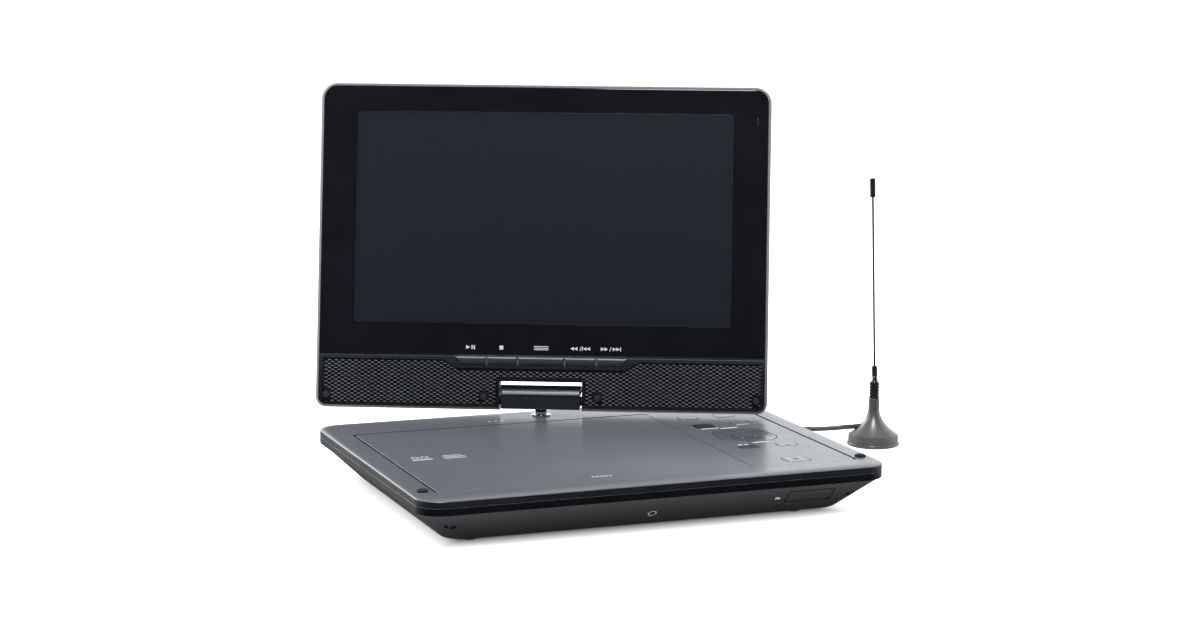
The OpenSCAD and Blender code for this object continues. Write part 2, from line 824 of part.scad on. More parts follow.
top_shell();
trim_band();
bottom_shell();
rubber_feet();
screen_rests();
control_panel();
disc_tray();
spindle_motor();
spindle_hub();
pickup_sled();
guide_rods();
main_board();
battery_pack();
ir_window();
status_lamps();
case_screws();
dc_jack();
av_jacks();
antenna_jack();
disc_lid();
lid_arms();
source_key();
setup_key();
display_key();
subtitle_key();
direction_pad();
enter_key();
return_key();
title_key();
mode_key();
power_switch();
volume_wheel();
card_door();
swivel_washer();
swivel_shaft();
hinge_block();
hinge_pins();
screen_back();
screen_frame();
display_panel();
speaker_grille();
speakers();
screw_plugs();
play_key();
stop_key();
menu_key();
previous_key();
next_key();
antenna_foot();
antenna_bell();
antenna_collar();
antenna_cone();
antenna_whip();
antenna_tip();
cord_outlet();
antenna_cord();
cord_coil();
coil_tie();
antenna_plug();
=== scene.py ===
# Portable disc player with a whip antenna: the looks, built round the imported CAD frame.
# Measures are in millimetres and become metres where an object is made.
from math import acos, atan2, cos, hypot, pi, radians, sin, tan

import bmesh
import bpy
from mathutils import Matrix, Vector


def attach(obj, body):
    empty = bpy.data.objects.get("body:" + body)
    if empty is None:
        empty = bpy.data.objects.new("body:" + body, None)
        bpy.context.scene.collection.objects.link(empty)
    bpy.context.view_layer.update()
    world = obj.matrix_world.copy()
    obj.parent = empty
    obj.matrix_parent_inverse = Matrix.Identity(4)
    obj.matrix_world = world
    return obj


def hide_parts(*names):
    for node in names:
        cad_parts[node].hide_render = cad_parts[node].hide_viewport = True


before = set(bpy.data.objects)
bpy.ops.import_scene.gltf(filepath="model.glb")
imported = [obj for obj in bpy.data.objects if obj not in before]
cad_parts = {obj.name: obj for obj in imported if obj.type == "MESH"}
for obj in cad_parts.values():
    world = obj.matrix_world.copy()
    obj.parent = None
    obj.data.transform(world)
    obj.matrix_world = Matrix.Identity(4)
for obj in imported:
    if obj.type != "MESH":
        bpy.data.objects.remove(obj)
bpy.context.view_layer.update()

MM = 0.001

# ---------- measures of the part ----------

BASE_W, BASE_D, BASE_R = 239.0, 183.0, 12.0
TOP_Z, PLATE_Z, BAND_Z = 24.1, 22.0, 16.3
TABLE_Z = -2.0
TAPER, BAND_INSET = 18.0, 1.2               # the bottom shell's foot and top, in from the base's edge
EDGE_Z, GROOVE_Z = 23.0, 20.0               # the top cover's lower edge; seam below its dark rim
BAY = (-108.2, 53.3, -76.6, 61.4)           # lid opening: left, right, front, rear
PANEL = (53.7, 107.8, -76.6, 61.4)          # key panel, same order
SWIVEL_Y, SWIVEL_ANGLE, LEAN_ANGLE, TILT_H = 76.5, radians(-24.5), radians(11.3), 7.8
SCREEN_W, SCREEN_H, SCREEN_T = 238.5, 172.0, 13.0
FACE_W = SCREEN_T / 2                       # the screen's front face, in front of the tilt axis
SEAM_W = FACE_W - 1.6                       # front parts meet the rear cover's rim here
RIM_W = SEAM_W - 1.9                        # and the rim meets the cover here
LOW_V, HIGH_V = -5.2, SCREEN_H - 5.2        # bottom and top of the screen, from the tilt axis
STRIP_V = LOW_V + 28.5                      # the speaker strip ends here
DISPLAY_W, DISPLAY_H, DISPLAY_V = 198.0, 111.6, 96.2
FRONT_INSET = 1.3
NOTCH_HALF, NOTCH_V = 21.8, 9.9             # the screen's notch round the hinge block: half width, top
BLOCK_HALF = 20.85                          # half the hinge block's length
KEY_V = (18.5, 22.8)                        # keys under the display: bottom and top,
KEY_XS = (-46.0, -29.0, -12.4, 12.4, 29.0, 46.0)    # and where each one ends and the next begins
PLUG_XS, PLUG_V = (-113.5, -30.0, 30.0, 113.5), 1.6     # screw plugs
KEY_GAP, KEY_LIFT = 0.35, 0.1
SEAM_GAP = 1.2                              # dark line beside the key panel and the lid
WINDOW_AT, CARD_AT, EYE_AT = (-1.6, 6.7), (79.8, 9.9), (103.0, 8.5)     # x and z on the front
FOOT_XS, FOOT_YS = (-88, 80), (-64, 64)
SCREW_XS, SCREW_YS = (-60, 60), (-58, 58)
REST_XS, REST_Y = (-113, 113), -71.5
SIDE_SOCKET_YS, SIDE_SOCKET_Z = (55, -12, 3), 9     # power, then the two for sound and picture
WHEEL_X, WHEEL_Y, SWITCH_Y = 104.8, 22, -36
JACK_X, JACK_Z = 44.5, 8                    # antenna socket in the rear
PLUG_END_Y = 114                            # outer end of the plug that is in it
ANTENNA = Vector((189.3, 60.5, TABLE_Z))

# ---------- objects ----------


def add_object(name, data):
    obj = bpy.data.objects.new(name, data)
    bpy.context.collection.objects.link(obj)
    return obj


# ---------- camera ----------

AZIMUTH, ELEVATION, ROLL = radians(-21.633), radians(9.302), radians(0.444)
DISTANCE = 1309.318
AIM = Vector((0, 0, 78))
OFF_AIM = (2.682, 11.515)                   # how far the view's centre is right of and above AIM
LENS = 78.695


def make_camera():
    back = Vector((sin(AZIMUTH) * cos(ELEVATION), -cos(AZIMUTH) * cos(ELEVATION), sin(ELEVATION)))
    level = (-back).cross(Vector((0, 0, 1))).normalized()
    upright = level.cross(-back)
    right = level * cos(ROLL) + upright * sin(ROLL)
    up = upright * cos(ROLL) - level * sin(ROLL)
    data = bpy.data.cameras.new("camera")
    data.lens = LENS
    data.clip_start = 0.05
    data.clip_end = 50
    camera = add_object("camera", data)
    place = AIM + back * DISTANCE + right * OFF_AIM[0] + up * OFF_AIM[1]
    turn = Matrix((right, up, back)).transposed().to_4x4()
    camera.matrix_world = Matrix.Translation(place * MM) @ turn
    bpy.context.scene.camera = camera


make_camera()

# ---------- node materials ----------


def new_material(name, colour, rough, metal=0.0, **sockets):
    """A Principled material; sockets sets more of its inputs, such as Coat_Weight=0.3"""
    material = bpy.data.materials.new(name)
    material.use_nodes = True
    shader = material.node_tree.nodes["Principled BSDF"]
    shader.inputs["Base Color"].default_value = (*colour, 1)
    shader.inputs["Roughness"].default_value = rough
    shader.inputs["Metallic"].default_value = metal
    for key, value in sockets.items():
        shader.inputs[key.replace("_", " ")].default_value = value
    return material


class Nodes:
    """Short names for the nodes that the materials and the world share"""

    def __init__(self, owner, shader="Principled BSDF", where="Object"):
        self.tree = owner.node_tree
        self.shader = self.tree.nodes[shader]
        self.where = self.tree.nodes.new("ShaderNodeTexCoord").outputs[where]

    def node(self, kind, **settings):
        made = self.tree.nodes.new(kind)
        for key, value in settings.items():
            setattr(made, key, value)
        return made

    def link(self, source, target):
        self.tree.links.new(source, target)

    def stretched(self, scale):
        """Object coordinates multiplied by scale, an (x, y, z)"""
        mapping = self.node("ShaderNodeMapping")
        mapping.inputs["Scale"].default_value = scale
        self.link(self.where, mapping.inputs["Vector"])
        return mapping.outputs["Vector"]

    def noise(self, size, detail=3.0, stretch=None):
        """Noise whose features are about size mm across"""
        made = self.node("ShaderNodeTexNoise")
        made.inputs["Scale"].default_value = 1 / (size * MM)
        made.inputs["Detail"].default_value = detail
        self.link(self.stretched(stretch) if stretch else self.where, made.inputs["Vector"])
        return made.outputs["Fac"]

    def cells(self, size):
        made = self.node("ShaderNodeTexVoronoi")
        made.inputs["Scale"].default_value = 1 / (size * MM)
        self.link(self.where, made.inputs["Vector"])
        return made.outputs["Distance"]

    def ramp(self, value, low, high, low_at=0.3, high_at=0.7):
        """value mapped from low_at..high_at onto low..high"""
        made = self.node("ShaderNodeMapRange")
        made.inputs["From Min"].default_value = low_at
        made.inputs["From Max"].default_value = high_at
        made.inputs["To Min"].default_value = low
        made.inputs["To Max"].default_value = high
        self.link(value, made.inputs["Value"])
        return made.outputs["Result"]

    def mix(self, amount, low, high):
        """Colour from low to high, each an (r, g, b) or another node's output"""
        made = self.node("ShaderNodeMix", data_type="RGBA")
        self.link(amount, made.inputs["Factor"])
        for name, colour in (("A", low), ("B", high)):
            if isinstance(colour, tuple):
                made.inputs[name].default_value = (*colour, 1)
            else:
                self.link(colour, made.inputs[name])
        return made.outputs["Result"]

    def maths(self, operation, first, second):
        """first is a node's output, and second is one or a number"""
        made = self.node("ShaderNodeMath", operation=operation)
        self.link(first, made.inputs[0])
        if isinstance(second, (int, float)):
            made.inputs[1].default_value = second
        else:
            self.link(second, made.inputs[1])
        return made.outputs[0]

    def axes(self, vector):
        made = self.node("ShaderNodeSeparateXYZ")
        self.link(vector, made.inputs[0])
        return made.outputs

    def bump(self, height, depth, below=None):
        """Bump of depth mm, on top of the bump below"""
        made = self.node("ShaderNodeBump")
        made.inputs["Strength"].default_value = 1.0
        made.inputs["Distance"].default_value = depth * MM
        self.link(height, made.inputs["Height"])
        if below:
            self.link(below, made.inputs["Normal"])
        return made.outputs["Normal"]

    def set(self, name, source):
        self.link(source, self.shader.inputs[name])

    def tones(self, pattern, colour, low, high):
        """Base colour that runs from colour times low to colour times high"""
        self.set("Base Color", self.mix(pattern, shade(colour, low), shade(colour, high)))


def shade(colour, factor):
    return tuple(c * factor for c in colour)


def plastic(name, colour, rough, grain=0.35, depth=0.006, spread=0.12, patch=14.0, **sockets):
    """Moulded plastic: a fine grain, and slow drifts of tone and gloss as handling leaves them"""
    material = new_material(name, colour, rough, **sockets)
    n = Nodes(material)
    slow = n.noise(patch, detail=4)
    n.tones(n.ramp(slow, 0, 1), colour, 1 - spread, 1 + spread)
    n.set("Roughness", n.ramp(n.noise(patch * 0.6), rough * 0.88, min(1.0, rough * 1.14)))
    n.set("Normal", n.bump(n.noise(grain, detail=2), depth))
    return material


def painted_light_plastic(name, low, high, z0, z1, edge=None):
    """Plastic with light and shade painted into its colour: it runs from low at height z0 to high at z1
    metres, and to the edge colour, a painted highlight, along its top
    """
    material = plastic(name, low, 0.34, grain=0.3, depth=0.004)
    n = Nodes(material)
    height = n.axes(n.where)["Z"]
    # painted shade below, painted light above
    tone = n.mix(n.ramp(height, 0, 1, z0, z1), low, high)
    if edge:
        # painted highlight: a thin lighter band just under z1
        tone = n.mix(n.ramp(height, 0, 1, z1 - 0.0007, z1 - 0.0004), tone, edge)
    n.set("Base Color", tone)
    return material


FLAKE_COLOUR = (0.75, 0.78, 0.82)


def satin_paint(name, colour, rough, metal, sparkle=0.16):
    """Painted cover: fine metal flakes under a satin lacquer"""
    material = new_material(name, colour, rough, metal, Coat_Weight=0.25, Coat_Roughness=0.22)
    n = Nodes(material)
    flakes = n.ramp(n.cells(0.16), 1, 0, 0.0, 0.55)
    slow = n.ramp(n.noise(40, detail=3), 0, 1)
    tone = n.mix(slow, shade(colour, 0.95), shade(colour, 1.05))
    n.set("Base Color", n.mix(n.maths("MULTIPLY", flakes, sparkle), tone, FLAKE_COLOUR))
    n.set("Roughness", n.ramp(n.noise(9, detail=4), rough * 0.92, rough * 1.1))
    fine = n.bump(n.noise(0.22, detail=1), 0.0018)
    n.set("Normal", n.bump(n.noise(2.4, detail=2), 0.004, fine))
    return material


def gloss(name, colour, rough, coat=1.0, **sockets):
    """Polished black plastic: faint haze, and the slight waves of a moulding"""
    material = new_material(name, colour, rough, Coat_Weight=coat, Coat_Roughness=0.03, **sockets)
    n = Nodes(material)
    haze = n.noise(22, detail=5)
    n.tones(n.ramp(haze, 0, 1), colour, 0.85, 1.25)
    n.set("Roughness", n.ramp(haze, rough * 0.7, rough * 1.5))
    n.set("Normal", n.bump(n.noise(30, detail=1), 0.01))
    return material


def metal(name, colour, rough, brushed=(1, 1, 1), depth=0.002, **sockets):
    """Bare metal, with brushing that runs along the smallest number in brushed"""
    material = new_material(name, colour, rough, 1.0, **sockets)
    n = Nodes(material)
    lines = n.noise(0.5, detail=4, stretch=brushed)
    n.tones(n.ramp(lines, 0, 1), colour, 0.9, 1.06)
    n.set("Roughness", n.ramp(lines, rough * 0.75, rough * 1.35))
    n.set("Normal", n.bump(lines, depth))
    return material


def rubber(name, colour, rough=0.7):
    material = new_material(name, colour, rough)
    n = Nodes(material)
    dust = n.noise(3, detail=5)
    n.tones(n.ramp(dust, 0, 1, 0.35, 0.75), colour, 0.85, 1.5)
    n.set("Roughness", n.ramp(dust, rough * 0.9, min(1.0, rough * 1.15)))
    n.set("Normal", n.bump(n.noise(0.18, detail=2), 0.01))
    return material


def board_material(name):
    """Circuit board: green lacquer over copper tracks"""
    material = new_material(name, (0.02, 0.16, 0.06), 0.35)
    n = Nodes(material)
    tracks = n.node("ShaderNodeTexBrick")
    tracks.inputs["Scale"].default_value = 260
    tracks.inputs["Mortar Size"].default_value = 0.045
    tracks.inputs["Color1"].default_value = (0.015, 0.13, 0.05, 1)
    tracks.inputs["Color2"].default_value = (0.02, 0.17, 0.065, 1)
    tracks.inputs["Mortar"].default_value = (0.07, 0.3, 0.1, 1)
    n.link(n.where, tracks.inputs["Vector"])
    n.set("Base Color", tracks.outputs["Color"])
    n.set("Roughness", n.ramp(n.noise(2), 0.3, 0.45))
    n.set("Normal", n.bump(tracks.outputs["Fac"], 0.03))
    return material


def glass_face(name, colour, rough):
    """Display that is off: a dark panel behind a matt film, with its fine pixel grid"""
    material = new_material(name, colour, rough, Coat_Weight=0.35, Coat_Roughness=0.12)
    n = Nodes(material)
    grid = n.node("ShaderNodeTexWave", wave_type="BANDS", bands_direction="X")
    grid.inputs["Scale"].default_value = 420
    n.link(n.where, grid.inputs["Vector"])
    n.tones(grid.outputs["Fac"], colour, 0.97, 1.05)
    n.set("Roughness", n.ramp(n.noise(0.3, detail=1), rough * 0.9, rough * 1.1))
    n.set("Normal", n.bump(n.noise(0.25, detail=1), 0.0015))
    return material


def ink(name, colour, rough=0.5):
    """Printed mark: slightly uneven ink"""
    material = new_material(name, colour, rough)
    n = Nodes(material)
    patchy = n.noise(0.4, detail=3)
    n.tones(n.ramp(patchy, 0, 1), colour, 0.86, 1)
    n.set("Roughness", n.ramp(patchy, rough * 0.9, rough * 1.2))
    return material


SATIN = satin_paint("satin_grey", (0.219, 0.234, 0.266), 0.3, 0.55)
PANEL_PAINT = satin_paint("panel_grey", (0.21, 0.223, 0.249), 0.3, 0.55)
KEY_PAINT = satin_paint("key_grey", (0.225, 0.242, 0.27), 0.28, 0.5)
PAD_PAINT = satin_paint("pad_grey", (0.15, 0.163, 0.188), 0.19, 0.5, sparkle=0.08)
DARK_KEY = plastic("dark_key", (0.018, 0.019, 0.023), 0.28, spread=0.2)
MID_KEY = plastic("mid_key", (0.05, 0.054, 0.063), 0.28, spread=0.2)
# screen keys: painted shade at their bottoms, lighter upwards, with a painted highlight along their top edges
SCREEN_KEY = painted_light_plastic("screen_key", (0.006, 0.0066, 0.009), (0.05, 0.056, 0.07), 0.0505, 0.0552,
                   edge=(0.24, 0.25, 0.28))
BACK_PAINT = satin_paint("cover_grey", (0.13, 0.135, 0.145), 0.38, 0.3)
# rim round the screen's rear cover: its light grey is partly a painted highlight along the cover's edge
RIM_PAINT = satin_paint("rim_grey", (0.29, 0.29, 0.31), 0.36, 0.15)
GLOSS_BLACK = gloss("gloss_black", (0.0048, 0.0051, 0.0078), 0.1)
BAND_BLACK = gloss("band_black", (0.003, 0.003, 0.0042), 0.2, coat=0, Specular_IOR_Level=0.4)
RIM_BLACK = gloss("rim_black", (0.007, 0.0085, 0.012), 0.24, coat=0, Specular_IOR_Level=0.5)
# painted highlight for the seam under the top cover's rim
SEAM_HIGHLIGHT_GREY = plastic("seam_highlight_grey", (0.13, 0.13, 0.135), 0.5, grain=0.3)
# painted shade: near-black and nearly matt, for the floors of gaps
GAP_SHADE_BLACK = plastic("gap_shade_black", (0.004, 0.004, 0.0045), 0.95, grain=0.4, Specular_IOR_Level=0.02)
PLUG_GREY = plastic("plug_grey", (0.023, 0.024, 0.029), 0.5, grain=0.4)
BLOCK_BLACK = gloss("block_black", (0.007, 0.0095, 0.0155), 0.25)
# painted highlight for the hinge bar's upper round
HINGE_HIGHLIGHT_GREY = satin_paint("hinge_highlight_grey", (0.23, 0.237, 0.262), 0.38, 0.3, sparkle=0.06)
# lower shell: painted shade, darker towards the bottom and lighter up to the band
SHELL_BLACK = painted_light_plastic("shell_black", (0.003, 0.003, 0.0042), (0.033, 0.0325, 0.037), 0.001, 0.0163)
# speaker strip: painted light, darker lower down and lighter towards its top edge
GRILLE_BLACK = painted_light_plastic("grille_black", (0.007, 0.008, 0.0115), (0.018, 0.023, 0.03), 0.046, 0.056)
GRILLE_SHEET = plastic("grille_sheet", (0.0055, 0.0068, 0.0105), 0.4, grain=0.3, depth=0.004)
# painted highlight: light grey on the raised dashes, for their upper edges catching the light
GRILLE_RIB_HIGHLIGHT = plastic("grille_rib", (0.118, 0.128, 0.152), 0.32, grain=0.3, depth=0.004)
DARK_PARTS = plastic("dark_parts", (0.012, 0.012, 0.013), 0.5, grain=0.5, depth=0.01)
INNER = plastic("inner_plastic", (0.09, 0.092, 0.1), 0.45, grain=0.5, depth=0.01)
RUBBER = rubber("rubber", (0.012, 0.012, 0.013))
LEAD_BLACK = rubber("lead_black", (0.042, 0.042, 0.044), 0.45)
CHROME = metal("chrome", (0.82, 0.83, 0.85), 0.1, depth=0.0008)
STEEL = metal("steel", (0.55, 0.56, 0.58), 0.28, brushed=(0.06, 1, 1))
ANTENNA_PAINT = satin_paint("antenna_grey", (0.27, 0.265, 0.27), 0.36, 0.8, sparkle=0.1)
ANTENNA_RING = satin_paint("antenna_ring", (0.135, 0.132, 0.133), 0.36, 0.45, sparkle=0.08)
WHIP_BLACK = plastic("whip_black", (0.012, 0.012, 0.013), 0.3, grain=0.3, depth=0.003)
BOARD = board_material("circuit_board")
BATTERY = plastic("battery_wrap", (0.02, 0.03, 0.09), 0.35, grain=1.2, depth=0.02)
WINDOW = gloss("tinted_window", (0.012, 0.004, 0.006), 0.08)
LAMP = plastic("lamp_white", (0.75, 0.76, 0.78), 0.3, spread=0.05)
DISPLAY = glass_face("display", (0.0095, 0.0122, 0.0178), 0.3)
WHITE_INK = ink("white_ink", (0.72, 0.73, 0.75))
GREY_INK = ink("grey_ink", (0.42, 0.44, 0.47))
FAINT_INK = ink("faint_ink", (0.11, 0.117, 0.13))
SPEAKER_CLOTH = plastic("speaker_cloth", (0.006, 0.006, 0.007), 0.85, grain=0.25, depth=0.03)

# ---------- mesh helpers ----------

BASE_PLACE = Matrix.Identity(4)
HINGE_PLACE = Matrix.Translation((0, SWIVEL_Y, TOP_Z + TILT_H)) @ Matrix.Rotation(SWIVEL_ANGLE, 4, "Z")
SCREEN_PLACE = HINGE_PLACE @ Matrix.Rotation(-LEAN_ANGLE, 4, "X")
# drawn flat, then stood up: x across the screen, y up it, z out of its front
FACE_PLACE = SCREEN_PLACE @ Matrix.Rotation(pi / 2, 4, "X")


def taper_half(half, z):
    """Half the tapered shell's width or depth at height z, from half the base's"""
    return half - BAND_INSET - (TAPER - BAND_INSET) * (1 - z / BAND_Z)


SLOPE = pi / 2 + atan2(TAPER - BAND_INSET, BAND_Z)


def front_place(x, z):
    """On the front taper: x across, y up the slope, z out of it"""
    lift = Matrix.Translation((x, -taper_half(BASE_D / 2, z), z))
    return lift @ Matrix.Rotation(SLOPE, 4, "X")


EYE_PLACES = [front_place(side * EYE_AT[0], EYE_AT[1]) for side in (-1, 1)]


def loft(sections, closed=False, mesh=None):
    """Skin through rings of points; its ends are filled unless it closes on itself"""
    bm = mesh or bmesh.new()
    rings = [[bm.verts.new(p) for p in section] for section in sections]
    pairs = list(zip(rings, rings[1:]))
    if closed:
        pairs.append((rings[-1], rings[0]))
    for low, high in pairs:
        for i in range(len(low)):
            j = (i + 1) % len(low)
            bm.faces.new((low[i], low[j], high[j], high[i]))
    if not closed:
        bm.faces.new(list(reversed(rings[0])))
        bm.faces.new(rings[-1])
    return bm


def fillet(corners, inset=0.0, steps=7):
    """Points round a convex outline of (x, y, radius) corners, counter-clockwise, moved in by inset"""
    count = len(corners)
    lines = []
    for i in range(count):
        a, b = Vector(corners[i][:2]), Vector(corners[(i + 1) % count][:2])
        along = (b - a).normalized()
        inward = Vector((-along.y, along.x))
        lines.append((a + inward * inset, along))
    points = []
    for i in range(count):
        (p, d), (q, e) = lines[i - 1], lines[i]
        t = ((q - p).x * e.y - (q - p).y * e.x) / (d.x * e.y - d.y * e.x)
        tip = p + d * t
        radius = max(corners[i][2] - inset, 0.02)
        turn = acos(max(-1, min(1, d.dot(e))))
        back = radius * tan(turn / 2)
        inward = Vector((-d.y, d.x))
        centre = tip - d * back + inward * radius
        start = atan2(-inward.y, -inward.x)
        for k in range(steps + 1):
            angle = start + turn * k / steps
            points.append((centre.x + radius * cos(angle), centre.y + radius * sin(angle)))
    return points


def rect(x0, x1, y0, y1, r):
    """Corners of a rectangle for fillet(); r is one radius, or four from the lower left"""
    rs = (r,) * 4 if isinstance(r, (int, float)) else r
    return [(x0, y0, rs[0]), (x1, y0, rs[1]), (x1, y1, rs[2]), (x0, y1, rs[3])]


def at_height(points, z):
    return [(x, y, z) for x, y in points]


def slab(corners, levels, steps=7):
    """Loft of one outline through (height, inset) levels, from the bottom up"""
    return loft([at_height(fillet(corners, inset, steps), z) for z, inset in levels])


def ring_wall(outer, inner, z0, z1):
    """Closed wall between two outlines of the same number of corners"""
    outer, inner = fillet(outer), fillet(inner)
    return loft([at_height(outer, z0), at_height(outer, z1), at_height(inner, z1), at_height(inner, z0)],
                closed=True)


def rounded(z0, z1, top, bottom=None, steps=3):
    """Levels for slab(): a quarter round of radius top above, and of radius bottom below"""
    bottom = top if bottom is None else bottom
    arc = [pi / 2 * k / steps for k in range(steps + 1)]
    low = [(z0 + bottom * (1 - cos(a)), bottom * (1 - sin(a))) for a in arc] if bottom else [(z0, 0)]
    high = [(z1 - top * (1 - sin(a)), top * (1 - cos(a))) for a in arc] if top else [(z1, 0)]
    return low + high


def block(x0, x1, y0, y1, z0, z1):
    return loft([[(x0, y0, z), (x1, y0, z), (x1, y1, z), (x0, y1, z)] for z in (z0, z1)])


def circle(x, y, r, steps=28):
    return [(x + r * cos(2 * pi * k / steps), y + r * sin(2 * pi * k / steps)) for k in range(steps)]


def drum(x, y, r, z0, z1, steps=40):
    return loft([at_height(circle(x, y, r, steps), z) for z in (z0, z1)])


def lathe(profile, steps=64):
    """Solid of revolution about z, from (radius, height) points that start and end near the axis"""
    return loft([at_height(circle(0, 0, r, steps), z) for r, z in profile])


def joined(*parts):
    """One mesh from several"""
    out = bmesh.new()
    for part in parts:
        copy = bpy.data.meshes.new("part")
        part.to_mesh(copy)
        out.from_mesh(copy)
        bpy.data.meshes.remove(copy)
        part.free()
    return out


def moved(bm, place):
    bm.transform(place)
    return bm


def temporary(bm):
    mesh = bpy.data.meshes.new("temporary")
    bmesh.ops.recalc_face_normals(bm, faces=bm.faces)
    bm.to_mesh(mesh)
    bm.free()
    return add_object("temporary", mesh)


def carve(bm, *cutters):
    """bm less each closed cutter"""
    target = temporary(bm)
    tools = [temporary(c) for c in cutters]
    for tool in tools:
        cut = target.modifiers.new("cut", "BOOLEAN")
        cut.operation = "DIFFERENCE"
        cut.solver = "EXACT"
        cut.object = tool
    graph = bpy.context.evaluated_depsgraph_get()
    mesh = bpy.data.meshes.new_from_object(target.evaluated_get(graph))
    out = bmesh.new()
    out.from_mesh(mesh)
    bpy.data.meshes.remove(mesh)
    for obj in (target, *tools):
        old = obj.data
        bpy.data.objects.remove(obj)
        bpy.data.meshes.remove(old)
    return out


def piece(name, bm, material, body, nodes=(), slot=None, place=BASE_PLACE, bevel=0.0, angle=32):
    """Makes one visible piece from a mesh in millimetres, and ties it to the frame"""
    bmesh.ops.remove_doubles(bm, verts=bm.verts, dist=1e-4)
    bmesh.ops.recalc_face_normals(bm, faces=bm.faces)
    bm.transform(Matrix.Scale(MM, 4) @ place)
    mesh = bpy.data.meshes.new(name)
    bm.to_mesh(mesh)
    bm.free()
    mesh.materials.append(material)
    mesh.polygons.foreach_set("use_smooth", [True] * len(mesh.polygons))
    mesh.set_sharp_from_angle(angle=radians(angle))
    obj = add_object(name, mesh)
    if bevel:
        soften(obj, bevel)
    weigh = obj.modifiers.new("weigh", "WEIGHTED_NORMAL")
    weigh.keep_sharp = True
    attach(obj, body)
    if nodes:
        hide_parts(*nodes)
    # Blender adds .001 to a name that the frame already uses
    return obj


def on_screen(name, bm, material, nodes, slot, **more):
    """Piece of the screen, drawn flat"""
    piece(name, bm, material, "screen", nodes, slot, place=FACE_PLACE, **more)


def on_antenna(name, bm, material, nodes, slot="antenna_grey", place=None):
    """Piece of the standing antenna; it rides with the base"""
    return piece(name, bm, material, "base", nodes, slot, place=place or ANTENNA_PLACE)


def soften(obj, width, angle=40):
    """Small rounds on the hard edges"""
    bevel = obj.modifiers.new("bevel", "BEVEL")
    bevel.width = width * MM
    bevel.segments = 2
    bevel.limit_method = "ANGLE"
    bevel.angle_limit = radians(angle)
    bevel.harden_normals = False


def keep_node(name, material, bevel=0.0):
    """A CAD node whose shape is right gets its material, and small rounds on its edges"""
    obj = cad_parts[name]
    if not obj.material_slots:
        obj.data.materials.append(material)
    for holder in obj.material_slots:
        holder.material = material
    if bevel:
        flat = obj.modifiers.new("flat", "DECIMATE")
        flat.decimate_type = "DISSOLVE"
        flat.angle_limit = radians(2)
        soften(obj, bevel)
        obj.modifiers.new("weigh", "WEIGHTED_NORMAL").keep_sharp = True


# ---------- antenna lead ----------

CORD_D = 2.6
COIL_CENTRE = (62.7, 128.0)
COIL_MID_R = 13.0
COIL_LOW_Z = TABLE_Z + 0.6 + CORD_D / 2
COLUMNS, LAYERS, TURNS, PER_TURN = 5, 4, 16.25, 16
LAY_Z = TABLE_Z + CORD_D / 2
LYING = [                                   # x and y of the part that lies on the table
    (164.8, 107.2), (158.5, 110), (151, 112.6), (143, 115.6), (135, 119), (127, 122.8), (119, 126.7),
    (111, 130.5), (103, 134), (95, 137.2), (87, 140.6), (79, 143.6),
]
LEAD_A = [                                  # from the antenna to the coil
    (180.5, 65.8, 7.6), (177.6, 70.6, 6.6), (176.4, 77, 5), (175.6, 84, 3.4), (174.4, 91, 1.8),
    (172.4, 97.5, 0.5), (169.4, 103, -0.4), *at_height(LYING, LAY_Z), (70.8, 145.7, -0.4),
    (62.7, 146.2, -0.1),
]
# from the coil into the plug
LEAD_B = [(JACK_X, PLUG_END_Y + 3.5 * k, z)
          for k, z in ((4, 7.7), (3, 7.75), (2, 7.85), (1, 7.95), (0, JACK_Z))]


def eased(t, centre, spread=1 / 12):
    """0 well before centre, 1 well after it, with a smooth rise between"""
    u = max(0.0, min(1.0, (t - centre + spread) / (2 * spread)))
    return u * u * (3 - 2 * u)


def coil_points():
    """Turns from the outside in and out again, layer on layer, each step at the same side"""
    steps = COLUMNS - 1
    points = []
    for i in range(1, int(TURNS * PER_TURN)):
        t = i / PER_TURN
        shifts = sum(eased(t, 0.75 + k) for k in range(steps * LAYERS))
        layer = sum(eased(t, steps * k + 0.5) for k in range(1, LAYERS))
        column = abs(steps - shifts % (2 * steps))
        radius = COIL_MID_R + (column - steps / 2) * CORD_D
        angle = pi / 2 + 2 * pi * t
        points.append((
            COIL_CENTRE[0] + radius * cos(angle),
            COIL_CENTRE[1] + radius * sin(angle),
            COIL_LOW_Z + CORD_D * layer,
        ))
    return points


def make_cord():
    points = LEAD_A + coil_points() + LEAD_B
    curve = bpy.data.curves.new("antenna_lead", "CURVE")
    curve.dimensions = "3D"
    curve.bevel_depth = CORD_D / 2 * MM
    curve.bevel_resolution = 4
    curve.resolution_u = 4
    curve.use_fill_caps = True
    line = curve.splines.new("BEZIER")
    line.bezier_points.add(len(points) - 1)
    for knot, p in zip(line.bezier_points, points):
        knot.co = Vector(p) * MM
        knot.handle_left_type = knot.handle_right_type = "AUTO"
    curve.materials.append(LEAD_BLACK)
    cord = add_object("antenna_lead", curve)
    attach(cord, "base")
    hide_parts("antenna_cord", "cord_coil")
    return cord


lead = make_cord()

# ---------- base ----------


def base_ring(z, inset, r):
    x, y = BASE_W / 2 - inset, BASE_D / 2 - inset
    return at_height(fillet(rect(-x, x, -y, y, r), steps=10), z)


